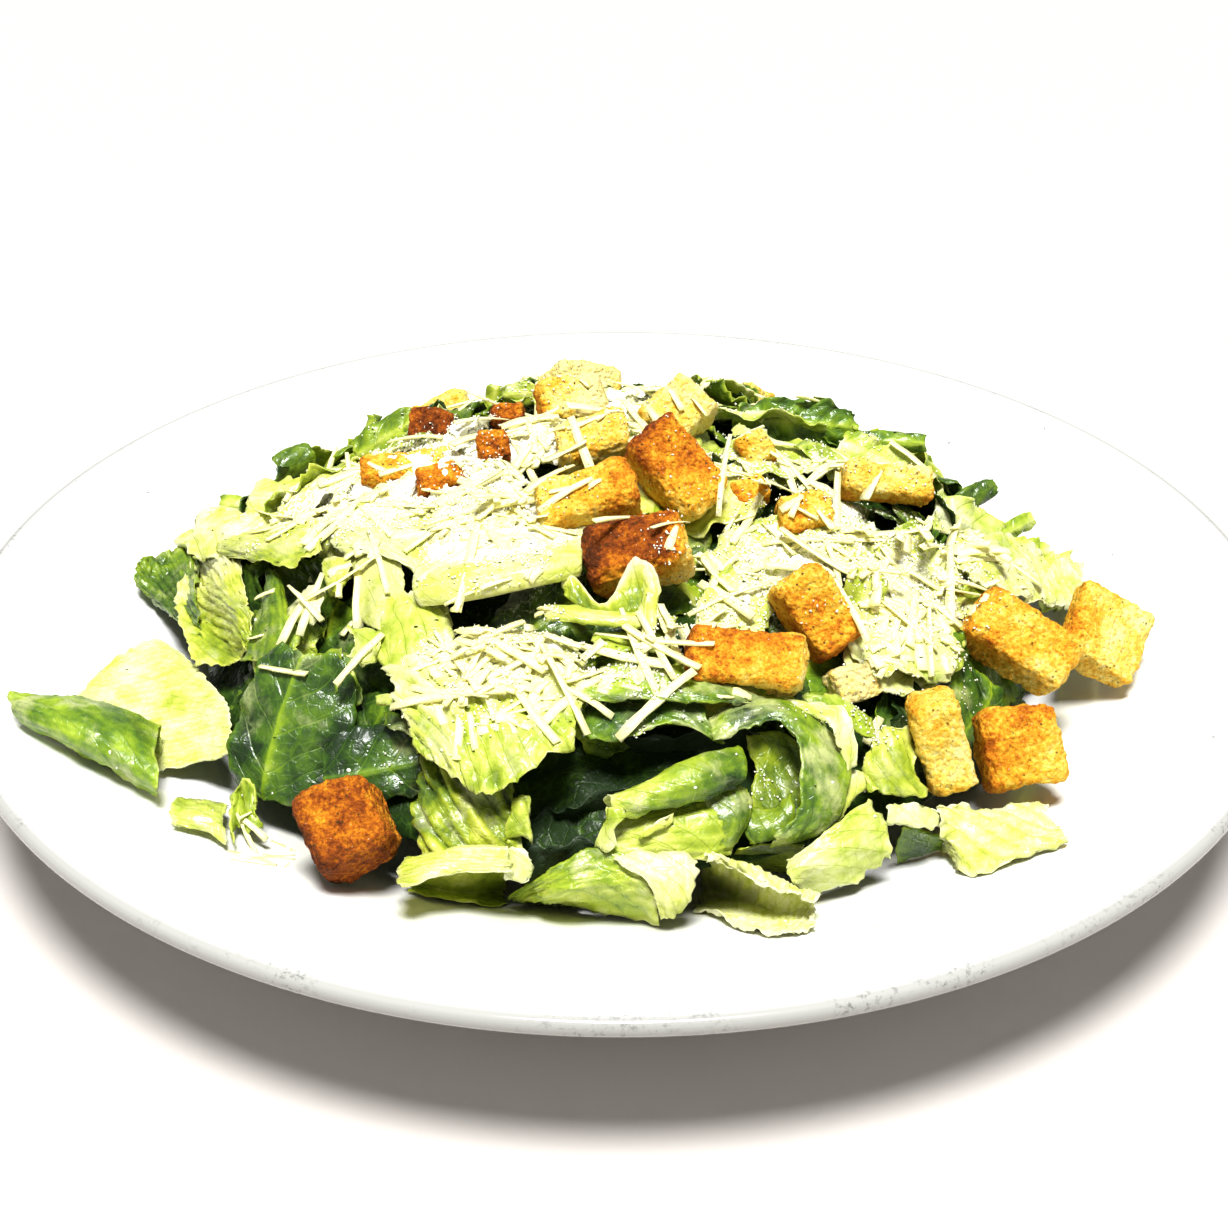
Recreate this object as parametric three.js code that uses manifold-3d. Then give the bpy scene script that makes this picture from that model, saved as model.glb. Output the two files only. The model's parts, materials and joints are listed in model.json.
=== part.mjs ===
// A caesar salad on its wide-rimmed white plate: a mound of romaine pieces with
// toasted bread croutons and parmesan shreds. Millimetres, +Z up, origin at the
// middle of the plate's foot, the diner at -Y.
import * as THREE from 'three';
import Module from 'manifold-3d';
import { ConvexGeometry } from 'three/addons/geometries/ConvexGeometry.js';
import { mergeVertices } from 'three/addons/utils/BufferGeometryUtils.js';

// ---- driving dimensions -------------------------------------------------------

const PLATE_RADIUS = 140;
const PLATE_HEIGHT = 34;
const RIM_EDGE_THICKNESS = 4;
const WELL_EDGE_RADIUS = 93;
const WELL_EDGE_HEIGHT = 17;
const WELL_FLOOR_RADIUS = 60;
const WELL_FLOOR_HEIGHT = 6;
const FLOOR_THICKNESS = 4.5;
const FOOT_OUTER_RADIUS = 75;
const FOOT_WIDTH = 5;
const PLATE_SEGMENTS = 64;
const UPPER_FACE_RADII = [WELL_EDGE_RADIUS + 1, 90, 80, 68, WELL_FLOOR_RADIUS, 0];

const MOUND_RADIUS = 106;
const MOUND_BASE = 12;
const MOUND_HEIGHT = 50;
const MOUND_POWER = 2.2;
const MOUND_SHOULDER = 0.8;
const CORE_RADIUS = 92;
const CORE_DEPTH = 2.5;
const CORE_BUMP = 1.2;

const LEAF_THICKNESS = 1.5;
const RIB_THICKNESS = 5;
const CROUTON_CUT = 0.14;
const CROUTON_UNEVENNESS = 0.7;
const SHRED_WIDTH = 1.8;
const SHRED_THICKNESS = 1.2;
const SHRED_COUNT = 36;
const GAP = 0.35;

const SEED = 20261;

const COLOURS = {
  plate: { color: 0xf7f7f5, roughness: 0.15, metalness: 0 },
  lettuce: { color: 0xa9c65a, roughness: 0.45, metalness: 0 },
  crouton_gold: { color: 0xdc9a35, roughness: 0.9, metalness: 0 },
  crouton_pale: { color: 0xe6bf6c, roughness: 0.9, metalness: 0 },
  crouton_brown: { color: 0xa85a1e, roughness: 0.9, metalness: 0 },
};

// ---- romaine pieces: name, [x, y, lift over the mound or plate], facing [azimuth,
// elevation, spin] in degrees, [length, width], [bend along, cup across, fold] in
// degrees, [ruffle height, ruffles along the edge]

const LEAVES = [
  ['rim_broad', [-96, -33, 3], [-105, 66, -42], [33, 34], [8, 20, 0], [0.6, 1.5]],
  ['rim_roll', [-99, -53, 4], [-95, 50, -33], [42, 22], [5, 200, 0], [0.5, 3]],
  ['side_far', [-98, 12, 2], [-150, 30, -50], [24, 18], [10, 20, 0], [0.8, 2]],
  ['side_folded', [-84, -17, 3], [-115, 12, -72], [25, 27], [0, 0, -52], [1.2, 2.5]],
  ['side_top', [-82, 6, 5], [-120, 60, 8], [28, 15], [20, 20, 0], [1, 2]],
  ['shoulder_left', [-72, 14, 3], [-120, 65, 5], [24, 14], [10, 20, 0], [0.8, 2]],
  ['blade', [-74, -26, 2], [-50, 8, -66], [27, 11], [20, 0, 0], [0.8, 1.5]],
  ['hanging_rib', [-47, -40, 2], [-98, 12, 88], [18, 11], [0, 20, 0], [0.3, 1]],
  ['dark_broad', [-63, -60, 3], [-112, 38, 88], [31, 25], [10, 22, 0], [0.9, 2]],
  ['dark_low', [-46, -71, 0.5], [-98, 42, 15], [20, 17], [10, 25, 0], [0.8, 2]],
  ['light_left', [-39, -49, 3], [-108, 38, 62], [22, 19], [10, 20, 0], [1.2, 2]],
  ['top_leaf', [-25, -28, 3], [-95, 72, 8], [36, 18], [8, 12, 0], [0.8, 2]],
  ['top_rib', [-24, -39, 1], [-92, 15, 8], [33, 8], [0, 60, 0], [0.2, 1]],
  ['front_broad', [-23, -68, 5], [-98, 48, 16], [40, 30], [25, 18, 0], [1.6, 3.5]],
  ['frilly_curl', [0, -48, 4], [-90, 12, 8], [21, 15], [0, -120, 0], [1.2, 1.5]],
  ['dark_ledge', [13, -65, 3], [-90, 58, -4], [38, 14], [20, 25, 0], [1.3, 3]],
  ['dark_blade', [4, -72, 3], [-92, 22, 24], [28, 13], [0, -30, 0], [0.8, 2]],
  ['crinkled', [-28, -81, 1.5], [-102, 24, 84], [22, 21], [0, 20, 0], [1.2, 3]],
  ['front_curl', [-29, -92, 3], [-93, 15, 6], [29, 14], [5, -100, 0], [1, 3]],
  ['front_tube', [11, -83, 3.5], [-88, 42, 24], [29, 19], [12, 175, 0], [0.8, 2]],
  ['ribbed', [11, -88, 1.5], [-88, 32, 20], [28, 18], [10, 25, 0], [1, 3]],
  ['fan', [-2, -94, 2], [-95, 42, 14], [33, 16], [10, 25, 0], [1.2, 3]],
  ['folded_front', [25, -94, 2], [-88, 25, -16], [26, 20], [0, 0, -50], [1.2, 3]],
  ['arched', [33, -74, 2.5], [-78, 25, 70], [28, 24], [20, 110, 0], [0.9, 2]],
  ['light_right', [51, -69, 1.5], [-70, 32, 72], [19, 17], [0, 25, 0], [1, 2]],
  ['front_right', [40, -85, 2], [-85, 48, 34], [26, 14], [10, 30, 0], [0.8, 2]],
  ['rim_right', [69, -73, 1.5], [-75, 66, 0], [34, 14], [0, 10, 0], [1.3, 3.5]],
  ['pale_right', [63, -21, 2], [-50, 42, -35], [18, 13], [0, 10, 0], [0.6, 1]],
  ['side_right', [77, 15, 1], [-45, 32, -40], [21, 13], [0, 20, 0], [1.2, 2]],
  ['ruffled_right', [85, 8, -1], [-32, 52, -15], [27, 13], [10, 20, 0], [1.2, 2.5]],
  ['frill_right', [97, 12, 4], [-40, 42, -5], [18, 13], [0, 10, 0], [1.4, 3]],
  ['dark_back', [40, 38, 1.5], [-90, 32, -4], [28, 14], [10, 30, 0], [1.4, 2.5]],
  ['arm_back', [60, 38, 5], [-90, 30, -2], [20, 7], [10, 150, 0], [0.4, 2]],
  ['arch_left', [-53, 36, 3], [-100, 25, 35], [17, 11], [0, 80, 0], [0.8, 2]],
  ['crown_left', [-63, 9, 1], [-120, 70, 15], [24, 18], [15, 15, 0], [0.9, 2]],
  ['crown_right', [28, -27, -1], [-70, 78, 20], [24, 18], [10, 15, 0], [0.9, 2]],
  ['crown_front', [22, -45, -1], [-80, 65, 60], [22, 16], [10, 15, 0], [0.9, 2]],
  ['crown_side', [51, -47, 2], [-60, 60, 60], [22, 17], [10, 15, 0], [0.9, 2]],
];
const RIBS = ['top_rib'];

// Rings of further pieces round the far side: ring radius, how many, facing elevation.
const FAR_RINGS = [[89, 7, 34], [67, 5, 52]];
const FAR_FIRST_AZIMUTH = 32;
const FAR_LAST_AZIMUTH = 168;

// ---- croutons: name, [x, y, lift], facing [azimuth, elevation, spin], size, bake

const CROUTONS = [
  ['front_left', [-49.6, -84.8, 8.2], [-102, 48, 33], [15.8, 16.4, 16.4], 'brown'],
  ['right_tall', [61, -66, 6.2], [-88, 15, -76], [20, 10, 11], 'pale'],
  ['right_squat', [77, -60, 8.2], [-85, 35, 8], [15.5, 16.5, 12.5], 'gold'],
  ['right_long', [80.5, -34.5, 7], [-75, 45, -42], [23, 14, 11.5], 'gold'],
  ['right_rim', [100.6, -21.4, 13.4], [-60, 42, 46], [18, 18, 8.5], 'pale'],
  ['middle_front', [23.3, -62.8, 6.3], [-90, 48, -6], [23.5, 11.2, 12], 'gold'],
  ['middle_tall', [38, -46.5, 4], [-80, 38, -62], [18, 12, 12], 'gold'],
  ['middle_low', [44.8, -54.8, -1.4], [-75, 35, 10], [10.5, 8.5, 8], 'pale'],
  ['centre_dark', [3.5, -40, 6], [-105, 55, 24], [20.5, 13, 13], 'brown'],
  ['centre_left', [-6.5, -24, 6], [-98, 60, 22], [21, 12, 12], 'pale'],
  ['centre_curved', [11.5, -12.5, 6.5], [-80, 45, -56], [21.5, 13, 12], 'gold'],
  ['crown_pale', [-6, 6, 3], [-90, 60, 16], [16, 11, 10], 'pale'],
  ['crown_diamond', [12.5, 21, 4], [-90, 50, 45], [14.5, 13, 10], 'pale'],
  ['crown_left', [-10.5, 23.5, 5.4], [-90, 50, 8], [15.5, 11, 11], 'pale'],
  ['crown_small', [29, 8, 2.6], [-90, 40, -60], [8, 7, 6.5], 'gold'],
  ['behind_inner', [26.8, -9.5, 1.2], [-90, 50, 20], [7.5, 6.5, 6], 'gold'],
  ['behind_outer', [38, -15.5, 2.4], [-90, 50, 12], [11.5, 9, 8], 'gold'],
  ['right_slab', [57.5, 6.5, 3.8], [-80, 50, -12], [20, 8.5, 8], 'gold'],
  ['left_slab', [-44.5, 5, 3], [-95, 60, 12], [21, 7.5, 7.5], 'pale'],
  ['left_small', [-37, -5, 3.4], [-95, 60, 24], [10.5, 6, 6.5], 'brown'],
  ['left_round', [-26.5, 4.5, 4.5], [-90, 40, 10], [7.5, 7.5, 7], 'brown'],
  ['left_dark', [-42, 27, 4], [-90, 45, -5], [9.8, 8.5, 8], 'brown'],
  ['left_red', [-25, 29, 2.6], [-90, 50, 4], [8, 5.5, 6], 'brown'],
  ['far_left', [-45, 81, 4], [120, 38, -24], [18, 15, 12], 'gold'],
  ['far_middle', [-10, 84, 5], [96, 46, 30], [19, 14, 13], 'pale'],
  ['far_right', [32, 85, 4], [70, 42, 68], [18, 14, 12], 'gold'],
];

// ---- shared helpers ------------------------------------------------------------

const wasm = await Module();
wasm.setup();

// A small linear congruential generator, so that every draw repeats.
function makeDraw(seed) {
  let state = seed >>> 0;
  return (low, high) => {
    state = (Math.imul(state, 1664525) + 1013904223) >>> 0;
    return low + (high - low) * (state / 4294967296);
  };
}

const radians = THREE.MathUtils.degToRad;

// Height of the plate's upper face at a radius, by straight stretches.
function plateTop(radius) {
  const stretches = [
    [0, WELL_FLOOR_HEIGHT],
    [WELL_FLOOR_RADIUS, WELL_FLOOR_HEIGHT + 0.2],
    [68, WELL_FLOOR_HEIGHT + 0.9],
    [80, WELL_FLOOR_HEIGHT + 3.6],
    [90, WELL_EDGE_HEIGHT - 1.8],
    [WELL_EDGE_RADIUS + 1, WELL_EDGE_HEIGHT + 0.3],
    [PLATE_RADIUS - 3, PLATE_HEIGHT],
    [PLATE_RADIUS, PLATE_HEIGHT],
  ];
  for (let i = 1; i < stretches.length; i += 1) {
    const [r0, z0] = stretches[i - 1];
    const [r1, z1] = stretches[i];
    if (radius <= r1) return z0 + ((z1 - z0) * (radius - r0)) / (r1 - r0);
  }
  return PLATE_HEIGHT;
}

// The salad's overall dome: a flat-topped mound with steep sides.
function mound(x, y) {
  const share = Math.hypot(x, y) / MOUND_RADIUS;
  const fall = Math.max(0, 1 - share ** MOUND_POWER);
  return MOUND_BASE + MOUND_HEIGHT * fall ** MOUND_SHOULDER;
}

function ground(x, y) {
  const radius = Math.hypot(x, y);
  const base = plateTop(radius);
  return radius < MOUND_RADIUS ? Math.max(base, mound(x, y)) : base;
}

// Three directions of a piece: along it, across it, and out of its face.
function pieceAxes([azimuth, elevation, spin]) {
  const az = radians(azimuth);
  const el = radians(elevation);
  const turn = radians(spin);
  const out = new THREE.Vector3(
    Math.cos(el) * Math.cos(az),
    Math.cos(el) * Math.sin(az),
    Math.sin(el),
  );
  const level = new THREE.Vector3(0, 0, 1).cross(out).normalize();
  const rise = out.clone().cross(level);
  const along = level.multiplyScalar(Math.cos(turn)).addScaledVector(rise, Math.sin(turn));
  return { along, across: out.clone().cross(along), out };
}

// A straight distance laid on a circular arc that turns by total degrees over span.
function arc(distance, total, span) {
  const curvature = radians(total) / span;
  if (Math.abs(curvature) < 1e-5) return [distance, 0];
  const angle = distance * curvature;
  return [Math.sin(angle) / curvature, (Math.cos(angle) - 1) / curvature];
}

function geometryFrom(positions, indices) {
  const geometry = new THREE.BufferGeometry();
  geometry.setAttribute('position', new THREE.Float32BufferAttribute(positions, 3));
  geometry.setIndex(indices);
  return geometry;
}

function toSolid(geometry) {
  geometry.deleteAttribute('normal');
  geometry.deleteAttribute('uv');
  const merged = mergeVertices(geometry, 1e-4);
  return new wasm.Manifold(new wasm.Mesh({
    numProp: 3,
    vertProperties: merged.attributes.position.array,
    triVerts: new Uint32Array(merged.index.array),
  }));
}

function toGeometry(solid) {
  const mesh = solid.getMesh();
  return geometryFrom(Array.from(mesh.vertProperties), Array.from(mesh.triVerts));
}

// The largest of a solid's separate bodies: loose scraps are dropped, and so is the
// inner skin of a sealed hollow.
function largestBody(solid) {
  const bodies = solid.decompose();
  return bodies.reduce((best, body) => (body.volume() > best.volume() ? body : best));
}

// ---- plate ----------------------------------------------------------------------

function latheUp(outline, segments) {
  const points = outline.map(([radius, z]) => new THREE.Vector2(radius, z));
  return new THREE.LatheGeometry(points, segments).rotateX(Math.PI / 2);
}

function plateGeometry() {
  const footInner = FOOT_OUTER_RADIUS - FOOT_WIDTH;
  const recess = WELL_FLOOR_HEIGHT - FLOOR_THICKNESS;
  const edgeLow = PLATE_HEIGHT - RIM_EDGE_THICKNESS;
  const outline = [
    [0, recess],
    [footInner - 1, recess],
    [footInner, 0],
    [FOOT_OUTER_RADIUS, 0],
    [FOOT_OUTER_RADIUS + 1.5, 2],
    [WELL_EDGE_RADIUS - 4, 9],
    [PLATE_RADIUS - 3, edgeLow - 0.6],
    [PLATE_RADIUS - 0.8, edgeLow],
    [PLATE_RADIUS, edgeLow + 1.2],
    [PLATE_RADIUS, PLATE_HEIGHT - 1.2],
    [PLATE_RADIUS - 1, PLATE_HEIGHT - 0.2],
    [PLATE_RADIUS - 3, PLATE_HEIGHT],
  ];
  for (const radius of UPPER_FACE_RADII) outline.push([radius, plateTop(radius)]);
  return latheUp(outline, PLATE_SEGMENTS);
}

// The space over the plate that food may fill: it follows the plate's upper face at
// a small gap and stops just inside the rim's edge.
function spaceOverPlate() {
  const ceiling = 120;
  const reach = PLATE_RADIUS - 0.5;
  const outline = [];
  for (const radius of [...UPPER_FACE_RADII].reverse()) {
    outline.push([radius, plateTop(radius) + GAP]);
  }
  outline.push([PLATE_RADIUS - 3, PLATE_HEIGHT + GAP], [reach, PLATE_HEIGHT + GAP]);
  outline.push([reach, ceiling], [0, ceiling]);
  return toSolid(latheUp(outline, PLATE_SEGMENTS));
}

// ---- salad ------------------------------------------------------------------------

// The packed inside of the heap: a bumpy dome a little under the mound, closed below
// by a flat base that is trimmed to the plate.
function coreGeometry() {
  const around = 24;
  const rings = 5;
  const positions = [0, 0, mound(0, 0) - CORE_DEPTH];
  const indices = [];
  for (let ring = 1; ring <= rings; ring += 1) {
    for (let step = 0; step < around; step += 1) {
      const angle = (2 * Math.PI * step) / around;
      const radius = (CORE_RADIUS * ring) / rings;
      const wave = Math.sin(5 * angle + ring * 2.1) + Math.sin(3 * angle - ring * 1.3);
      const x = radius * Math.cos(angle);
      const y = radius * Math.sin(angle);
      positions.push(x, y, mound(x, y) - CORE_DEPTH + CORE_BUMP * wave);
    }
  }
  const at = (ring, step) => 1 + (ring - 1) * around + (step % around);
  for (let step = 0; step < around; step += 1) {
    indices.push(0, at(1, step), at(1, step + 1));
    for (let ring = 1; ring < rings; ring += 1) {
      indices.push(at(ring, step), at(ring + 1, step), at(ring + 1, step + 1));
      indices.push(at(ring, step), at(ring + 1, step + 1), at(ring, step + 1));
    }
  }
  const foot = positions.length / 3;
  for (let step = 0; step < around; step += 1) {
    const angle = (2 * Math.PI * step) / around;
    positions.push(CORE_RADIUS * Math.cos(angle), CORE_RADIUS * Math.sin(angle), 1);
    const next = foot + ((step + 1) % around);
    indices.push(at(rings, step), foot + step, next);
    indices.push(at(rings, step), next, at(rings, step + 1));
  }
  const middle = positions.length / 3;
  positions.push(0, 0, 1);
  for (let step = 0; step < around; step += 1) {
    indices.push(middle, foot + ((step + 1) % around), foot + step);
  }
  return geometryFrom(positions, indices);
}

// A point of a romaine piece, for u across (-1 to 1) and v along (0 to 1): a bent,
// cupped and folded rectangle with rounded ends, whose long edges ruffle.
function leafPoint([, [x, y, lift], facing, size, shape, frill], u, v) {
  const { along, across, out } = pieceAxes(facing);
  const [length, width] = size;
  const [bend, cup, fold] = shape;
  const [ruffle, ruffles] = frill;
  const taper = 1 - 0.35 * Math.abs(2 * v - 1) ** 5;
  const side = (u * width * taper) / 2;
  const crease = radians(fold);
  const phase = x * 0.37 + y * 0.61 + 1.9 * Math.sign(u);
  const [forward, drop] = arc((v - 0.5) * length, bend, length);
  const [sideways, curl] = arc(side * Math.cos(crease), cup, width);
  const tent = (1 - Math.sqrt(side * side + 1)) * Math.sin(crease);
  const wave = ruffle * u * u * Math.sin(2 * Math.PI * ruffles * v + phase);
  return new THREE.Vector3(x, y, ground(x, y) + lift)
    .addScaledVector(along, forward)
    .addScaledVector(across, sideways)
    .addScaledVector(out, drop + curl + tent + wave);
}

// A thin solid over a grid of points: both faces share one triangulation, set half
// the thickness to each side, and a band closes the edge.
function shellGeometry(pointAt, columns, rows, thickness) {
  const step = 1e-3;
  const faces = [1, -1].map((sign) => {
    const points = [];
    for (let row = 0; row <= rows; row += 1) {
      for (let column = 0; column <= columns; column += 1) {
        const u = -1 + (2 * column) / columns;
        const v = row / rows;
        const middle = pointAt(u, v);
        const du = pointAt(u + step, v).sub(pointAt(u - step, v));
        const dv = pointAt(u, v + step).sub(pointAt(u, v - step));
        const normal = dv.cross(du).normalize();
        points.push(middle.addScaledVector(normal, (sign * thickness) / 2));
      }
    }
    return points;
  });
  const positions = faces.flat().flatMap((p) => [p.x, p.y, p.z]);
  const indices = [];
  const stride = columns + 1;
  const under = stride * (rows + 1);
  for (let row = 0; row < rows; row += 1) {
    for (let column = 0; column < columns; column += 1) {
      const a = row * stride + column;
      const [b, c, d] = [a + 1, a + stride, a + stride + 1];
      indices.push(a, c, b, b, c, d);
      indices.push(under + a, under + b, under + c, under + b, under + d, under + c);
    }
  }
  const rim = [];
  for (let column = 0; column < columns; column += 1) rim.push(column);
  for (let row = 0; row < rows; row += 1) rim.push(row * stride + columns);
  for (let column = columns; column > 0; column -= 1) rim.push(rows * stride + column);
  for (let row = rows; row > 0; row -= 1) rim.push(row * stride);
  rim.forEach((a, i) => {
    const b = rim[(i + 1) % rim.length];
    indices.push(a, b, under + a, b, under + b, under + a);
  });
  return geometryFrom(positions, indices);
}

function leafSolid(leaf) {
  const [name, , , [length, width], [bend, cup]] = leaf;
  const columns = Math.abs(cup) > 90 || width > 22 ? 4 : 3;
  const rows = length > 24 || bend > 15 ? 4 : 3;
  const thickness = RIBS.includes(name) ? RIB_THICKNESS : LEAF_THICKNESS;
  return toSolid(shellGeometry((u, v) => leafPoint(leaf, u, v), columns, rows, thickness));
}

function farLeaves() {
  const draw = makeDraw(SEED);
  const leaves = [];
  for (const [radius, count, elevation] of FAR_RINGS) {
    for (let i = 0; i < count; i += 1) {
      const sweep = FAR_LAST_AZIMUTH - FAR_FIRST_AZIMUTH;
      const azimuth = FAR_FIRST_AZIMUTH + (sweep * (i + 0.5)) / count + draw(-5, 5);
      const reach = radius + draw(-4, 3);
      leaves.push([
        `far_${radius}_${i}`,
        [reach * Math.cos(radians(azimuth)), reach * Math.sin(radians(azimuth)), draw(0, 2)],
        [azimuth + draw(-25, 25), elevation + draw(-12, 12), draw(0, 180)],
        [draw(27, 38), draw(19, 26)],
        [draw(0, 25), draw(-25, 60), 0],
        [draw(0.9, 1.6), draw(2, 3.5)],
      ]);
    }
  }
  return leaves;
}

// ---- croutons ------------------------------------------------------------------

// A bread cube with worn corners: the hull of a box's cut-back corners, three points
// at each, with a seeded unevenness. Grow pushes every point outwards.
function croutonGeometry([, [x, y, lift], facing, size], seed, grow) {
  const { along, across, out } = pieceAxes(facing);
  const draw = makeDraw(seed);
  const half = size.map((s) => s / 2);
  const cut = CROUTON_CUT * Math.min(...size);
  const centre = new THREE.Vector3(x, y, ground(x, y) + lift);
  const points = [];
  for (const corner of [0, 1, 2, 3, 4, 5, 6, 7]) {
    const signs = [0, 1, 2].map((axis) => ((corner >> axis) & 1 ? 1 : -1));
    for (const face of [0, 1, 2]) {
      const [a, b, c] = signs.map((sign, axis) => {
        const inset = axis === face ? draw(0, CROUTON_UNEVENNESS) : cut * draw(0.8, 1.3);
        return sign * (half[axis] - inset + grow);
      });
      points.push(centre.clone()
        .addScaledVector(along, a)
        .addScaledVector(across, b)
        .addScaledVector(out, c));
    }
  }
  return mergeVertices(new ConvexGeometry(points).deleteAttribute('normal'), 1e-4);
}

// ---- parmesan shreds ------------------------------------------------------------

// A square-cut strip from one point to another, its ends sunk in what they rest on.
function stripGeometry(from, to) {
  const length = from.distanceTo(to);
  const strip = new THREE.BoxGeometry(length, SHRED_WIDTH, SHRED_THICKNESS);
  const along = to.clone().sub(from).normalize();
  const across = new THREE.Vector3(0, 0, 1).cross(along).normalize();
  const out = along.clone().cross(across);
  const middle = from.clone().add(to).multiplyScalar(0.5);
  const matrix = new THREE.Matrix4().makeBasis(along, across, out).setPosition(middle);
  return strip.applyMatrix4(matrix);
}

// Shreds dropped on the heap: each end is put where a plumb line meets the salad, and
// a shred whose end would lie on a crouton or drop off a leaf is skipped.
function shredSolids(heap, croutons) {
  const draw = makeDraw(SEED + 7);
  const ray = new THREE.Raycaster();
  const salad = new THREE.Mesh(toGeometry(heap));
  const bread = croutons.map((geometry) => new THREE.Mesh(geometry));
  const drop = (x, y) => {
    ray.set(new THREE.Vector3(x, y, 150), new THREE.Vector3(0, 0, -1));
    const hit = ray.intersectObject(salad)[0];
    const onBread = ray.intersectObjects(bread).length > 0;
    return hit && !onBread ? hit.point : null;
  };
  const solids = [];
  for (let tries = 0; tries < 6 * SHRED_COUNT && solids.length < SHRED_COUNT; tries += 1) {
    const azimuth = draw(0, 2 * Math.PI);
    const radius = 84 * Math.sqrt(draw(0, 1));
    const turn = draw(0, Math.PI);
    const length = draw(11, 20);
    const x = radius * Math.cos(azimuth);
    const y = radius * Math.sin(azimuth);
    const reach = [(Math.cos(turn) * length) / 2, (Math.sin(turn) * length) / 2];
    const from = drop(x - reach[0], y - reach[1]);
    const to = drop(x + reach[0], y + reach[1]);
    if (from && to && Math.abs(from.z - to.z) < length * 0.8) {
      solids.push(toSolid(stripGeometry(from, to)));
    }
  }
  return solids;
}

// ---- the object -------------------------------------------------------------------

function namedMesh(name, geometry, slot) {
  const mesh = new THREE.Mesh(geometry, new THREE.MeshStandardMaterial(COLOURS[slot]));
  mesh.name = name;
  return mesh;
}

const croutonGeometries = CROUTONS.map((row, i) => croutonGeometry(row, SEED + i, 0));
const croutonRooms = CROUTONS.map((row, i) => toSolid(croutonGeometry(row, SEED + i, GAP)));

function heapGeometry() {
  const room = spaceOverPlate();
  const parts = [...LEAVES, ...farLeaves()].map(leafSolid);
  const trim = (solid) => {
    const kept = croutonRooms.reduce((rest, hole) => rest.subtract(hole), solid.intersect(room));
    return largestBody(kept);
  };
  const heap = trim(parts.reduce((sum, part) => sum.add(part), toSolid(coreGeometry())));
  const shreds = shredSolids(heap, croutonGeometries);
  return toGeometry(trim(shreds.reduce((sum, shred) => sum.add(shred), heap)));
}

const salad = new THREE.Group();
salad.add(namedMesh('plate', plateGeometry(), 'plate'));
salad.add(namedMesh('lettuce_heap', heapGeometry(), 'lettuce'));
CROUTONS.forEach(([name, , , , bake], i) => {
  salad.add(namedMesh(`crouton_${name}`, croutonGeometries[i], `crouton_${bake}`));
});

export default salad;
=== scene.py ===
"""A caesar salad heaped on its wide-rimmed white plate.

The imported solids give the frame. This script dresses them with torn romaine pieces,
toasted bread croutons, parmesan shreds and powder, dressing and herb flecks. Lengths
in the tables are millimetres, +Z up, the diner at -Y; meshes are made in metres.
"""
import json
import math

import bpy
import numpy as np
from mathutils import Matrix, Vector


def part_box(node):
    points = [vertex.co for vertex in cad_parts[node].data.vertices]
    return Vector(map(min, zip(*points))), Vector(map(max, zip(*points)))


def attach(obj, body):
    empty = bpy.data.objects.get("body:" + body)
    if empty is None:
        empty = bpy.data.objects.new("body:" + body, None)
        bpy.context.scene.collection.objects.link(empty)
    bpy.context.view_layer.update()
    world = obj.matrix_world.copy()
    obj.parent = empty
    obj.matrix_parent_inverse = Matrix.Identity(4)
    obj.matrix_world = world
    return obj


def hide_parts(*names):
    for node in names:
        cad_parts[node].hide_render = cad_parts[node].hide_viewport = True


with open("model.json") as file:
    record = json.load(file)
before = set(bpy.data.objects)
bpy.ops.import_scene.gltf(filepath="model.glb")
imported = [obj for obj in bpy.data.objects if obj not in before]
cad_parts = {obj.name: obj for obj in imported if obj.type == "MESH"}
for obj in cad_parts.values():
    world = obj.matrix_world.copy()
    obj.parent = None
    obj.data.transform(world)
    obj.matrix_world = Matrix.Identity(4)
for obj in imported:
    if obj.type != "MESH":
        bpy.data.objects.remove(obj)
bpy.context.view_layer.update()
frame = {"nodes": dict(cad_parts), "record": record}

MM = 0.001
SEED = 20261
DRAW = np.random.default_rng(SEED)

# ---- plate and mound ---------------------------------------------------------------

PLATE_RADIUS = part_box("plate")[1].x / MM
PLATE_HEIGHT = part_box("plate")[1].z / MM
WELL_FLOOR_HEIGHT = 6.0
WELL_EDGE_RADIUS = 93.0
WELL_EDGE_HEIGHT = 17.0
FOOT_RADIUS = 75.0
FOOT_WIDTH = 5.0
PLATE_SIDES = 256
UPPER_FACE = [
    (0, WELL_FLOOR_HEIGHT),
    (60, WELL_FLOOR_HEIGHT + 0.2),
    (68, WELL_FLOOR_HEIGHT + 0.9),
    (80, WELL_FLOOR_HEIGHT + 3.6),
    (90, WELL_EDGE_HEIGHT - 1.8),
    (WELL_EDGE_RADIUS + 1, WELL_EDGE_HEIGHT + 0.3),
    (PLATE_RADIUS - 3, PLATE_HEIGHT),
    (PLATE_RADIUS, PLATE_HEIGHT),
]
MOUND_RADIUS = 106.0
MOUND_BASE = 12.0
MOUND_HEIGHT = 50.0
MOUND_POWER = 2.2
MOUND_SHOULDER = 0.8
CORE_RADIUS = 89.0
CORE_DEPTH = 7.0
# The core's dark tone is painted shade: it shows only in the gaps between the leaves.
CORE_SHADE_TONE = 0.97

LEAF_STEP = 0.65
HIDDEN_STEP = 1.0
MIN_CELLS = 8
LEAF_THICKNESS = 0.55
RIB_THICKNESS = 5.0
CLEARANCE = 0.2
# Spacing of side veins and of the streaks along a leaf, and the size of its crinkles.
VEIN_SPACING = 6.5
STREAK_SPACING = 1.9
LARGE_DOME = 5.0
SMALL_DOME = 2.4
# A leaf of this size or more has its full teeth and sway.
FULL_SIZE = 14
# How much dressing films a leaf of the tables, from 0 to 1.
LEAF_FILM = 0.2
# Where a leaf without a midrib counts its distance from, and how far apart the noise of
# its opposite borders is read.
FAR_RIB = 50
BORDERS_APART = 40.0
# One unit of a leaf's flat map.
MAP_UNIT = 50

# ---- light and camera, the camera in metres ------------------------------------------

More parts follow.
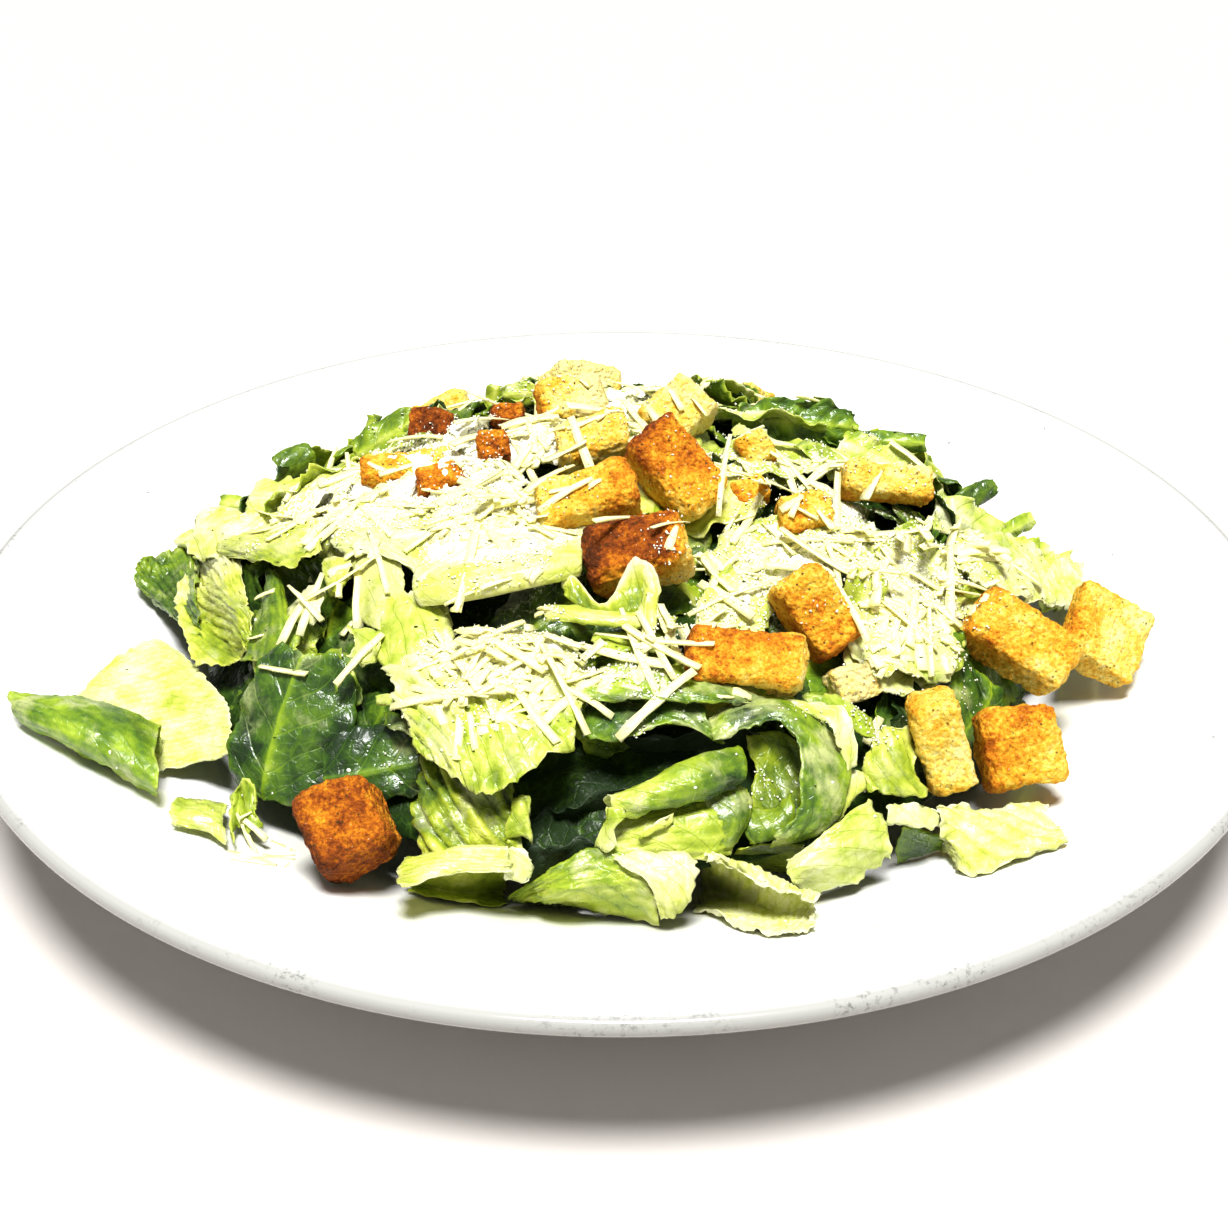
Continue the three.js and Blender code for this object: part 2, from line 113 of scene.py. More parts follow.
LAMP_STRENGTH = 5.9
LAMP_ANGLE = 18.0
LAMP_LEAN = 15.0
SKY_STRENGTH = 0.26
HORIZON_STRENGTH = 1.1
VIEW_GAMMA = 0.9
CAMERA_PLACE = (0.0, -0.38823, 0.25755)
CAMERA_PITCH = 30.79
CAMERA_YAW = 0.167
CAMERA_LENS = 60.47
SENSOR = 36.0

# ---- romaine pieces ----------------------------------------------------------------

NO_RIB = 9


def leaf(name, place, facing, size, shape, tone, frill=(0.9, 2), crinkle=0.8, rib=0):
    """A romaine piece: its place (x, y, lift over the mound or plate); its facing
    (azimuth, elevation, spin) in degrees; its size (length, width); its shape (bend
    along, cup across) in degrees; its tone from pale 0 to dark 1; its frill (height of
    the ruffles, how many along the edge); how strong its crinkles are; and its midrib's
    place across from -1 to 1, or NO_RIB."""
    return name, place, facing, size, shape, frill, (tone, crinkle, rib)


LEFT_LEAVES = [
    leaf("side_top", (-82, 6, 5), (-120, 60, 8), (28, 15), (20, 20), 0.2, frill=(1, 2)),
    leaf("shoulder_left", (-72, 14, 3), (-120, 65, 5), (24, 14), (10, 20), 0.15, frill=(0.8, 2)),
    leaf("shoulder_bit", (-87, 20, 11), (-120, 40, 10), (6, 5), (0, 40), 0.5, frill=(0.4, 2)),
    leaf("blade_inner", (-66, -40, 1), (-110, 40, 15), (15, 13), (0, -30), 0.55, frill=(0.8, 2)),
    leaf("deep_left", (-77, -5, -7), (-110, 8, 60), (24, 20), (0, -20), 0.8, frill=(0.8, 2)),
    leaf("dark_broad", (-63, -60, 3), (-112, 38, 88), (31, 25), (10, 22), 0.86, crinkle=0.55, rib=0.15),
    leaf("dark_low", (-46, -71, 0.5), (-98, 42, 15), (20, 17), (10, 25), 0.95,
         frill=(0.8, 2), crinkle=0.7, rib=-0.2),
    leaf("dark_behind", (-57, -53, -0.5), (-120, 35, 45), (16, 14), (0, -25), 0.7),
]
FRONT_LEAVES = [
    # The cavern pieces take the darkest tone, past 1: painted shade, dark sheets in the hollow under
    # the overhanging leaves in front.
    leaf("cavern_upper", (11, -68, -12), (-90, -12, 12), (36, 20), (0, -20), 1.25,
         frill=(1, 2), crinkle=0.35, rib=NO_RIB),
    leaf("cavern_left", (-4, -80, -11), (-92, -8, 30), (26, 18), (0, -20), 1.25,
         frill=(1, 2), crinkle=0.35, rib=NO_RIB),
    leaf("cavern_low", (-10, -88, -8), (-92, 0, 20), (18, 14), (0, -20), 1.25,
         frill=(1, 2), crinkle=0.35, rib=NO_RIB),
]
RIGHT_LEAVES = [
    leaf("pale_stub", (48, -40, 2.5), (-65, 28, 72), (16, 11), (0, 20), 0.3, frill=(0.7, 1)),
    leaf("pale_right", (63, -21, 2), (-50, 42, -35), (18, 13), (0, 10), 0.12, frill=(0.6, 1)),
    leaf("right_bit", (58, -21, 5), (-70, 40, 28), (13, 9), (0, 40), 0.4),
    leaf("dark_gap", (59, -51, 0), (-60, 40, 20), (11, 9), (0, 20), 0.92, frill=(0.8, 2), rib=NO_RIB),
    leaf("right_chip", (67, -26, 2), (-50, 45, 60), (10, 8), (0, 20), 0.3),
    leaf("side_right", (77, 15, 1), (-45, 32, -40), (21, 13), (0, 20), 0.24, frill=(1.2, 2)),
    leaf("tip_right", (81, 30, 5.5), (-60, 30, 10), (13, 6), (0, 60), 0.75, frill=(0.5, 1), rib=NO_RIB),
    leaf("tip_far", (89, 22, 6), (-50, 30, 4), (15, 5), (0, 60), 0.5, frill=(0.5, 1)),
    leaf("ruffled_right", (85, 8, -1), (-32, 52, -15), (27, 13), (10, 20), 0.18, frill=(1.2, 2.5)),
    leaf("frill_right", (97, 12, 4), (-40, 42, -5), (18, 13), (0, 10), 0.26, frill=(1.4, 3)),
    leaf("frill_back", (94, 20, 5), (-40, 42, -15), (11, 8), (0, 10), 0.4),
]
BACK_LEAVES = [
    leaf("dark_back", (40, 38, 1.5), (-90, 32, -4), (28, 14), (10, 30), 0.74,
         frill=(1.4, 2.5), crinkle=1.4, rib=0.1),
    leaf("arm_back", (60, 38, 5), (-90, 30, -2), (20, 7), (10, 150), 0.76, frill=(0.4, 2)),
    leaf("light_back", (58, 30, 1.5), (-80, 45, -30), (19, 11), (0, 20), 0.28, frill=(1, 2)),
    leaf("arch_left", (-53, 36, 3), (-100, 25, 35), (17, 11), (0, 80), 0.62, frill=(0.8, 2)),
    leaf("ring_left", (-73, 30, 8), (-60, 10, 10), (9, 13), (0, 250), 0.66, frill=(0.3, 1), rib=NO_RIB),
    leaf("back_bit", (-29, 48, 4), (-90, 20, 80), (6, 5), (0, 40), 0.6, frill=(0.4, 1)),
    leaf("back_bit_two", (-23, 46, 4), (-90, 20, 5), (8, 6), (0, 40), 0.5, frill=(0.4, 1)),
]
CROWN_LEAVES = [
    leaf("crown_left", (-63, 9, 1), (-120, 70, 15), (24, 18), (15, 15), 0.15),
    leaf("crown_mid", (-49, -2, 1), (-110, 75, 60), (22, 18), (15, 15), 0.15),
    leaf("crown_middle", (-39, -9, 1), (-100, 78, 10), (24, 18), (15, 15), 0.2),
    leaf("crown_low", (-56, -17, 1), (-120, 55, 80), (20, 12), (10, 20), 0.3),
    leaf("crown_right", (28, -27, -1), (-70, 78, 20), (24, 18), (10, 15), 0.2),
    leaf("crown_front", (22, -45, -1), (-80, 65, 60), (22, 16), (10, 15), 0.2),
    leaf("crown_back", (42, -24, 1), (-60, 70, -20), (22, 16), (10, 15), 0.3),
    leaf("crown_side", (51, -47, 2), (-60, 60, 60), (22, 17), (10, 15), 0.18),
    leaf("crown_edge", (61, -42, 2), (-45, 55, 20), (20, 15), (10, 15), 0.25),
    leaf("crown_outer", (56, -33, 2), (-55, 60, -30), (20, 15), (10, 15), 0.28),
    leaf("crown_dark", (-15, -49, -0.5), (-95, 50, 40), (20, 15), (10, 15), 0.85),
    leaf("crown_top", (-4, -17, 1), (-90, 80, 30), (24, 18), (10, 15), 0.3),
    leaf("ledge_light", (15, -64, 0), (-90, 60, -10), (20, 14), (10, 15), 0.4),
    leaf("gap_pale", (-17, 9, 2), (-95, 72, 25), (22, 15), (15, 15), 0.12),
    leaf("gap_light", (-2, 16, 1), (-85, 70, 70), (20, 14), (15, 15), 0.18, rib=NO_RIB),
    leaf("gap_left", (-30, -4, 2), (-100, 72, -20), (20, 14), (15, 15), 0.16, rib=NO_RIB),
    leaf("gap_right", (20, -14, 1), (-80, 70, 15), (20, 14), (15, 15), 0.3, rib=NO_RIB),
    leaf("outer_right", (79, -21, 0.5), (-40, 50, -40), (20, 14), (10, 15), 0.3),
]

# ---- romaine pieces that show in front -------------------------------------------------
# Each is a sheet through a net of points, row by row. A point is (across, down) in the
# camera's view, FRAME to a side, and its lift in mm over the mound or plate, or over
# the plate alone where it counts from ON_PLATE. Then come the tones, evenly spaced down
# the rows, with the change along a row as the last number; (crinkle, ruffle, rib lines,
# film of dressing); and which way its veins run: "v" down the rows, or "u" along them.

FRAME = 1228
ON_PLATE = -100
NEAREST_SIGHT = 250.0
FARTHEST_SIGHT = 620.0

DRAPED_LEFT = [
    ("rim_broad", [
        [(95, 675, 3), (120, 655, 3), (150, 637, 2.5), (178, 650, 2)],
        [(75, 700, 3), (125, 690, 4), (175, 680, 4), (215, 685, 2.5)],
        [(90, 735, 2), (135, 735, 3), (185, 725, 4), (232, 715, 3)],
        [(120, 770, 1), (155, 775, 1.5), (195, 765, 3), (237, 752, 2)],
    ], (0.08, 0.15, 0), (0.08, 0.2, 0.5, 0.2), "u"),
    ("rim_roll", [
        [(20, 712, 3), (66, 722, 3), (116, 738, 3.5), (160, 756, 4)],
        [(16, 701, 4.5), (62, 708, 6), (114, 721, 7), (162, 738, 7.5)],
        [(10, 693, 6), (60, 696, 8.5), (112, 708, 9.5), (164, 727, 9.5)],
        [(8, 701, 6), (62, 713, 9.5), (114, 730, 10.5), (160, 752, 10)],
        [(12, 712, 3.5), (64, 737, 6), (118, 762, 6.5), (158, 786, 6)],
        [(20, 720, 0.8), (70, 748, 1), (122, 776, 1), (160, 796, 1.2)],
    ], (0.42, 0.50, 0.56, 0.62, 0.58, 0.5, -0.1), (0.6, 0.4, 0.9, 0.3), "u"),
    ("rim_scrap", [
        [(172, 800, 2.5), (200, 798, 2.5), (228, 803, 3)],
        [(168, 815, 2.5), (198, 815, 4), (228, 820, 4)],
        [(175, 826, 1), (205, 833, 1.5), (230, 848, 1.5)],
    ], (0.36, 0.24, 0), (0.9, 0.5, 0.3, 0.2), "u"),
    ("scrap_frill", [
        [(228, 800, 4), (240, 780, 6), (252, 775, 6), (258, 800, 5)],
        [(229, 820, 4), (238, 805, 3), (246, 805, 6), (258, 815, 5)],
        [(232, 845, 2), (238, 828, 2), (250, 832, 3), (264, 828, 3)],
    ], (0.40, 0.5, 0), (0.8, 0.8, 0.3, 0.2), "v"),
    ("side_far", [
        [(140, 560, 4), (172, 550, 5), (205, 543, 4)],
        [(134, 580, 4), (170, 592, 5.5), (198, 600, 5)],
        [(160, 605, 2), (182, 625, 3), (202, 640, 3)],
    ], (0.66, 0.8, 0), (1.2, 0.6, 0.0, 0.5), "v"),
    ("side_folded", [
        [(192, 560, 5), (207, 562, 3), (222, 556, 6), (242, 560, 5)],
        [(176, 598, 6), (203, 595, 2), (225, 590, 7), (248, 600, 5)],
        [(182, 630, 6), (213, 625, 1), (236, 615, 7.5), (255, 630, 4)],
        [(195, 668, 4), (236, 662, 0.5), (243, 650, 5), (254, 650, 3)],
    ], (0.08, 0.26, 0.42, 0.40, 0), (1.1, 0.8, 0.1, 0.4), "v"),
    ("blade", [
        [(268, 566, 4), (273, 566, 5), (279, 572, 4)],
        [(260, 605, 4), (276, 600, 6), (290, 612, 3)],
        [(248, 640, 4), (275, 632, 6), (303, 632, 3)],
        [(240, 662, 3), (272, 662, 5), (300, 652, 3)],
    ], (0.66, 0.60, -0.2), (0.4, 0.4, 1.5, 0.2), "v"),
    ("pale_chip", [
        [(300, 592, 5), (316, 588, 6), (330, 592, 5)],
        [(288, 612, 5), (305, 608, 7), (324, 608, 6)],
        [(295, 624, 4), (310, 626, 5), (320, 616, 5)],
    ], (0.05, 0.10, 0), (0.4, 0.5, 0.2, 0.6), "u"),
    ("pale_stem", [
        [(320, 560, 5), (335, 556, 6), (352, 560, 5)],
        [(322, 578, 5), (338, 580, 7), (350, 575, 6)],
        [(328, 598, 4), (338, 594, 6), (346, 582, 5)],
    ], (0.14, 0.40, 0), (0.3, 0.5, 0.4, 0.5), "v"),
    ("left_ledge", [
        [(185, 532, 3), (235, 518, 4), (285, 512, 4), (322, 512, 4)],
        [(178, 544, 5), (238, 540, 7), (288, 536, 7), (324, 532, 6)],
        [(200, 559, 5), (245, 560, 8), (288, 568, 8.5), (322, 550, 7)],
    ], (0.10, 0.44, 0), (0.7, 0.8, 0.3, 0.5), "u"),
    ("hanging_rib", [
        [(354, 556, 5), (380, 552, 6), (405, 562, 5)],
        [(352, 590, 4), (378, 592, 6), (404, 585, 4)],
        [(358, 618, 3), (380, 634, 5), (396, 612, 3)],
    ], (0.26, 0.42, 0), (0.15, 0.3, 0.2, 1.0), "v"),
    ("rib_left", [
        [(326, 508, 3), (375, 500, 4), (434, 508, 3)],
        [(324, 534, 5), (375, 534, 6), (432, 545, 4)],
        [(345, 556, 6), (385, 558, 7), (428, 580, 5)],
    ], (0.04, 0.14, 0), (0.7, 0.7, 0.1, 0.7), "u"),
    ("olive_back", [
        [(236, 552, 2), (285, 552, 2), (334, 560, 2)],
        [(238, 590, -2), (285, 595, -2), (334, 602, -2)],
        [(245, 628, -2), (288, 634, -2), (325, 640, -2)],
    ], (0.74, 0.82, 0), (0.6, 0.5, 0.5, 0.1), "v"),
    ("left_frill", [
        [(344, 622, 5), (362, 623, 6), (384, 636, 5)],
        [(350, 640, 6), (366, 645, 7), (380, 645, 6)],
        [(344, 655, 5), (362, 668, 6), (372, 655, 5)],
    ], (0.36, 0.30, 0), (0.8, 0.8, 0.2, 0.4), "u"),
    ("left_curl", [
        [(300, 658, 3), (320, 652, 5), (342, 650, 3)],
        [(302, 675, 3), (318, 682, 5), (340, 672, 4)],
        [(310, 688, 1), (325, 694, 3), (342, 692, 3)],
    ], (0.6, 0.78, 0), (0.6, 0.7, 0.2, 0.3), "v"),
    ("pod_upper", [
        [(370, 696, 4), (390, 692, 6), (404, 702, 4)],
        [(376, 706, 4), (392, 709, 6), (405, 714, 4)],
    ], (0.22, 0.3, 0), (0.2, 0.1, 0.4, 0.5), "u"),
    ("pod_lower", [
        [(382, 710, 3), (397, 710, 5), (412, 722, 4)],
        [(381, 728, 3), (396, 732, 6), (413, 738, 4)],
    ], (0.8, 0.88, 0), (0.3, 0.1, 0.2, 0.4), "u"),
    ("light_left", [
        [(396, 594, 4), (422, 588, 6), (448, 606, 4)],
        [(376, 632, 5), (412, 625, 7.5), (456, 634, 5)],
        [(366, 662, 4), (395, 670, 6), (438, 652, 5)],
    ], (0.16, 0.30, 0), (0.6, 0.6, 0.3, 0.35), "v"),
]
DRAPED_FRONT = [
    ("top_leaf", [
        [(392, 518, 2), (460, 493, 3), (530, 498, 3), (600, 510, 3)],
        [(408, 545, 4), (470, 530, 5), (540, 525, 5), (600, 530, 4)],
        [(418, 574, 5), (470, 564, 7), (530, 554, 7), (584, 547, 6)],
    ], (0.05, 0.12, 0), (0.5, 0.5, 0.3, 0.8), "u"),
    ("front_broad", [
        [(378, 664, 5), (430, 645, 5), (480, 630, 5), (530, 625, 4), (590, 652, 3)],
        [(390, 692, 7), (440, 685, 9), (490, 680, 9), (545, 680, 8), (598, 688, 6)],
        [(404, 722, 9), (447, 728, 10.5), (490, 730, 11), (535, 724, 10.5), (580, 715, 8.5)],
        [(414, 748, 10), (446, 772, 11.5), (480, 800, 13), (527, 775, 12.5), (574, 750, 11)],
    ], (0.02, 0.10, 0.30, 0.36, 0), (1.5, 0.9, 0.0, 0.5), "v"),
    ("crinkled", [
        [(418, 740, 3), (460, 745, 4), (512, 755, 3)],
        [(411, 785, 3), (460, 795, 5), (518, 800, 3)],
        [(415, 825, 2.5), (465, 832, 4), (522, 830, 2.5)],
        [(420, 862, 1.5), (470, 866, 2.5), (526, 856, 1.5)],
    ], (0.48, 0.66, 0.60, 0.42, 0), (2.4, 0.7, 0.0, 0.4), "v"),
    ("crinkled_tip", [
        [(512, 795, 4), (522, 790, 5), (531, 800, 4)],
        [(506, 822, 4), (522, 820, 5), (532, 822, 4)],
        [(500, 842, 3), (520, 838, 4), (534, 846, 4)],
    ], (0.44, 0.36, 0), (1.0, 0.7, 0.0, 0.5), "v"),
    ("front_curl", [
        [(406, 892, ON_PLATE + 0.6), (455, 905, ON_PLATE + 0.6), (508, 906, ON_PLATE + 0.6)],
        [(406, 880, ON_PLATE + 2), (455, 890, ON_PLATE + 2), (506, 890, ON_PLATE + 2)],
        [(400, 862, 5), (450, 850, 6), (508, 850, 5.5)],
        [(394, 872, 8), (450, 862, 9), (514, 860, 8)],
        [(398, 892, 8), (450, 876, 9.5), (516, 872, 8)],
    ], (0.56, 0.50, 0.14, 0.16, 0.20, 0), (0.35, 0.6, 0.8, 0.1), "u"),
    ("front_curl_end", [
        [(500, 848, 5), (515, 842, 6), (530, 858, 5)],
        [(500, 868, 6), (518, 868, 6.5), (536, 868, 4)],
        [(502, 880, 4), (518, 884, 4), (532, 880, 3)],
    ], (0.10, 0.16, 0), (0.8, 0.8, 0.0, 0.6), "u"),
    ("fan", [
        [(508, 895, ON_PLATE + 3), (545, 872, 3.5), (590, 846, 5), (625, 842, 6)],
        [(512, 899, ON_PLATE + 2), (552, 884, 4), (600, 868, 6), (640, 862, 7)],
        [(518, 901, ON_PLATE + 1), (556, 896, 3), (604, 888, 5), (652, 888, 6)],
        [(536, 901, ON_PLATE + 0.6), (565, 906, ON_PLATE + 0.6), (612, 916, ON_PLATE + 0.6),
         (662, 924, ON_PLATE + 0.6)],
    ], (0.56, 0.46, 0.40, 0.34, -0.14), (0.8, 0.5, 1.1, 0.12), "u"),
    ("fan_tip", [
        [(611, 858, 8), (640, 851, 8.5), (672, 850, 8.5), (703, 854, 8)],
        [(626, 869, 8.5), (648, 871, 9.5), (676, 872, 9.5), (702, 869, 8)],
        [(648, 884, 8), (662, 887, 9), (680, 890, 8.5), (698, 886, 7)],
        [(656, 905, 5), (665, 907, 6), (677, 908, 5.5), (691, 902, 4.5)],
        [(662, 925, ON_PLATE + 1), (667, 925, ON_PLATE + 1), (673, 921, ON_PLATE + 1.5),
         (682, 912, ON_PLATE + 2)],
    ], (0.16, 0.06, 0.20, 0.24, 0.22, 0.10), (0.6, 0.4, 0.6, 0.5), "v"),
    # Its tones darken towards its right end: painted shade.
    ("ribbed", [
        [(614, 818, 4), (660, 806, 4.5), (712, 796, 5), (748, 784, 5)],
        [(608, 834, 6), (662, 824, 6.5), (716, 818, 7), (752, 806, 6)],
        [(607, 850, 6), (662, 843, 6.5), (712, 845, 6), (742, 838, 4.5)],
        [(612, 862, 5), (655, 862, 5), (700, 860, 4), (730, 858, 3)],
    ], (0.44, 0.42, 0.38, 0.28, 0.22), (0.5, 0.5, 1.3, 0.15), "u"),
    ("inner_lip", [
        [(634, 834, 9), (650, 824, 9.5), (674, 812, 9)],
        [(637, 842, 9), (655, 834, 9.5), (676, 822, 8.5)],
    ], (0.30, 0.44, 0), (0.3, 0.5, 0.8, 0.2), "u"),
    ("stem_end", [
        [(704, 796, 6), (735, 786, 6), (750, 792, 5)],
        [(712, 822, 7), (740, 818, 7.5), (751, 812, 5)],
        [(706, 844, 5), (724, 852, 5), (738, 842, 4)],
    ], (0.70, 0.62, 0), (0.15, 0.2, 0.8, 0.5), "v"),
    # Its tones darken towards its right end: painted shade.
    ("front_tube", [
        [(612, 812, 3), (650, 800, 3), (700, 792, 3), (742, 784, 3)],
        [(604, 804, 8), (640, 786, 10), (690, 760, 10.5), (738, 746, 8)],
        [(608, 800, 10.5), (650, 789, 13), (695, 776, 13.5), (748, 762, 10)],
        [(616, 812, 11), (656, 802, 12.5), (700, 792, 12.5), (746, 778, 9.5)],
        [(632, 818, 9), (664, 808, 10), (704, 798, 10), (738, 786, 8)],
    ], (0.54, 0.46, 0.44, 0.60, 0.72, 0.50), (0.5, 0.7, 0.6, 0.3), "u"),
    ("tube_flap", [
        [(605, 804, 11), (613, 801, 12), (622, 804, 11.5)],
        [(604, 816, 10), (612, 816, 11.5), (624, 816, 12.5)],
        [(597, 836, 7), (607, 832, 9), (616, 828, 11)],
        [(594, 846, 5), (606, 848, 7), (618, 842, 9)],
    ], (0.34, 0.56, 0.30, 0.24, 0), (0.3, 0.5, 0.4, 0.3), "v"),
    # Its pale tones over the trough's floor and near edge are painted light, where the piece lies in
    # shade.
    ("folded_front", [
        [(694, 907, ON_PLATE + 1.4), (735, 924, ON_PLATE + 1.4), (780, 933, ON_PLATE + 1.4),
         (818, 926, ON_PLATE + 1.4)],
        [(697, 899, ON_PLATE + 0.6), (738, 915, ON_PLATE + 0.6), (783, 925, ON_PLATE + 0.6),
         (817, 920, ON_PLATE + 0.6)],
        [(700, 882, ON_PLATE + 1.2), (740, 898, ON_PLATE + 1.2), (785, 912, ON_PLATE + 1.2),
         (819, 909, ON_PLATE + 1.4)],
        [(703, 852, 5), (742, 864, 6), (786, 884, 6), (821, 897, 5)],
        [(705, 859, 7), (738, 872, 8), (778, 891, 8), (810, 898, 6.5)],
    ], (0.0, 0.05, 0.16, 0.06, 0.04, 0), (1.0, 1.1, 0.8, 0.1), "v"),
    ("front_scrap", [
        [(733, 850, 2), (770, 843, 3), (806, 845, 2)],
        [(740, 866, ON_PLATE + 3), (772, 872, ON_PLATE + 3), (797, 874, ON_PLATE + 3)],
    ], (0.60, 0.54, 0), (0.4, 0.4, 0.4, 0.2), "u"),
    ("front_right", [
        [(782, 862, 5), (812, 842, 7), (842, 818, 8), (872, 797, 7)],
        [(788, 880, 6), (825, 862, 8), (858, 842, 9), (887, 825, 7)],
        [(806, 898, ON_PLATE + 0.8), (846, 890, ON_PLATE + 1.5), (872, 877, ON_PLATE + 2.5),
         (895, 858, 4)],
    ], (0.32, 0.14, 0.12), (0.9, 0.7, 0.6, 0.3), "u"),
    ("dark_ledge", [
        [(598, 668, 4), (648, 655, 5.5), (705, 672, 5), (768, 686, 5)],
        [(585, 690, 7), (645, 688, 9), (705, 694, 9), (770, 697, 7)],
        [(586, 704, 8), (644, 702, 10), (700, 703, 10), (742, 705, 8)],
    ], (0.50, 0.66, 0.1), (0.9, 0.9, 0.2, 0.6), "u"),
    ("dark_blade", [
        [(585, 706, 3), (630, 700, 4), (670, 700, 5), (706, 700, 5)],
        [(578, 728, 4), (625, 720, 5.5), (668, 713, 6.5), (714, 722, 6.5)],
        [(590, 745, 5), (635, 737, 6.5), (675, 724, 7.5), (728, 746, 6.5)],
    ], (0.84, 0.74, -0.1), (0.6, 0.7, 0.0, 0.4), "u"),
    ("arched", [
        [(712, 744, 7), (748, 734, 9), (775, 724, 10), (794, 746, 11), (800, 790, 11),
         (794, 815, 10), (774, 834, 8)],
        [(706, 730, 6), (745, 711, 8), (788, 712, 9.5), (815, 745, 10), (822, 790, 10),
         (808, 822, 9), (766, 843, 7)],
        [(708, 716, 4), (745, 698, 5), (800, 704, 6), (838, 745, 6), (852, 790, 6),
         (830, 830, 5), (772, 850, 4)],
    ], (0.76, 0.68, 0.56, 0), (0.6, 0.6, 1.0, 0.7), "u"),
    ("arch_inside", [
        [(745, 736, 2), (775, 730, 2), (802, 742, 2)],
        [(750, 775, 0), (778, 775, -1), (806, 780, 0)],
        [(750, 815, 2), (778, 820, 2), (802, 815, 3)],
    ], (0.56, 0.66, 0.80, 0), (0.5, 0.3, 0.4, 0.1), "v"),
    ("arch_lower", [
        [(745, 800, 3), (770, 806, 4), (797, 782, 6)],
        [(742, 826, 4), (768, 828, 5), (797, 818, 6)],
        [(750, 843, 2), (764, 846, 3), (786, 838, 4)],
    ], (0.74, 0.62, 0), (0.7, 0.8, 0.2, 0.4), "v"),
    ("arch_frill", [
        [(775, 697, 7), (806, 701, 8), (840, 706, 8.5), (851, 732, 8), (859, 764, 6)],
        [(777, 705, 8), (804, 713, 9), (828, 722, 9.5), (835, 742, 9), (846, 774, 7)],
    ], (0.08, 0.2, 0), (0.6, 1.1, 0.2, 0.4), "u"),
    ("arch_top", [
        [(800, 696, 4), (826, 692, 5), (856, 704, 4), (874, 722, 3)],
        [(808, 712, 5), (838, 718, 6), (852, 735, 5), (876, 745, 3)],
    ], (0.50, 0.62, 0), (0.7, 0.6, 0.3, 0.4), "u"),
    ("light_right", [
        [(872, 735, 3), (895, 720, 4), (918, 730, 3)],
        [(862, 765, 4), (890, 760, 6), (922, 770, 4)],
        [(866, 792, 3), (895, 798, 4), (930, 802, 3)],
    ], (0.30, 0.44, 0), (1.3, 0.6, 0.3, 0.3), "v"),
    ("right_stem", [
        [(842, 772, 3), (858, 772, 4), (874, 785, 3)],
        [(812, 818, 4), (830, 812, 5), (850, 815, 4)],
        [(816, 835, 1.5), (828, 836, 2), (842, 836, 1.5)],
    ], (0.26, 0.34, 0), (0.2, 0.2, 0.4, 0.5), "v"),
    ("right_frill", [
        [(884, 803, 5), (910, 799, 5), (942, 808, 5)],
        [(882, 826, 4), (906, 828, 5), (942, 832, 4)],
    ], (0.08, 0.22, 0), (1.1, 1.2, 0.0, 0.3), "u"),
    ("right_cover", [
        [(828, 630, 3), (868, 620, 4), (914, 624, 4), (952, 632, 3)],
        [(846, 652, 3), (882, 646, 5), (920, 652, 5), (956, 660, 4)],
        [(872, 680, 2), (896, 678, 4.5), (922, 684, 4.5), (952, 684, 2)],
    ], (0.04, 0.26, 0), (1.4, 1.0, 0.2, 0.6), "v"),
    ("right_ruffle", [
        [(950, 532, 3), (1000, 534, 4), (1046, 548, 4), (1082, 566, 3)],
        [(956, 558, 5), (1004, 564, 6), (1048, 578, 6), (1088, 590, 4)],
        [(968, 584, 4), (1010, 594, 5), (1050, 606, 5), (1086, 612, 3)],
    ], (0.20, 0.10, 0), (1.1, 1.1, 0.2, 0.4), "v"),
    ("corner_dark", [
        [(896, 826, 2), (920, 824, 2.5), (944, 834, 2)],
        [(893, 863, ON_PLATE + 0.6), (915, 860, ON_PLATE + 0.6), (942, 850, ON_PLATE + 0.6)],
    ], (0.66, 0.8, 0), (0.4, 0.4, 0.4, 0.2), "u"),
    ("rim_right", [
        [(930, 808, 3), (965, 803, 4), (1005, 801, 4), (1048, 808, 3)],
        [(937, 830, 4), (972, 832, 5), (1015, 828, 5), (1062, 828, 3.5)],
        [(942, 850, ON_PLATE + 1), (968, 877, ON_PLATE + 0.6), (1018, 864, ON_PLATE + 0.6),
         (1072, 842, ON_PLATE + 0.6)],
    ], (0.10, 0.20, 0), (1.6, 1.3, 0.2, 0.1), "u"),
    ("frilly_curl", [
        [(561, 586, 7), (569, 573, 9), (580, 585, 7), (592, 600, 6), (605, 603, 6), (616, 588, 8),
         (628, 565, 11), (638, 559, 12), (648, 565, 10), (657, 580, 8)],
        [(564, 591, 7), (572, 588, 8), (583, 597, 7), (594, 607, 6.5), (606, 609, 6.5), (617, 602, 7),
         (629, 590, 7.5), (639, 588, 7.5), (648, 588, 7), (656, 592, 7)],
        [(566, 598, 7), (574, 602, 7), (586, 608, 7.5), (596, 613, 7.5), (606, 615, 8), (618, 617, 8),
         (630, 614, 7.5), (640, 613, 7), (648, 610, 6.5), (656, 606, 6)],
    ], (0.02, 0.50, 0.62, 0), (0.15, 0.4, 0.8, 0.0), "v"),
    ("frilly_band", [
        [(541, 607, 6), (560, 604, 7), (582, 606, 7), (606, 610, 7), (630, 612, 7), (652, 612, 6)],
        [(541, 614, 8), (560, 613, 9), (582, 616, 9), (606, 618, 9), (630, 619, 9), (650, 620, 8)],
        [(547, 623, 7), (562, 623, 8), (584, 627, 8), (608, 629, 8), (632, 631, 7.5), (650, 631, 7)],
    ], (0.36, 0.16, 0.46, 0), (0.3, 0.6, 0.6, 0.1), "u"),
    ("frilly_side", [
        [(640, 570, 9), (649, 564, 11), (658, 575, 10)],
        [(642, 590, 7), (651, 590, 9), (662, 592, 8)],
        [(640, 611, 7), (651, 612, 9), (661, 610, 8)],
        [(643, 632, 7), (650, 637, 8), (657, 630, 8)],
    ], (0.08, 0.22, 0), (0.2, 0.6, 0.8, 0.5), "v"),
    ("frilly_roll", [
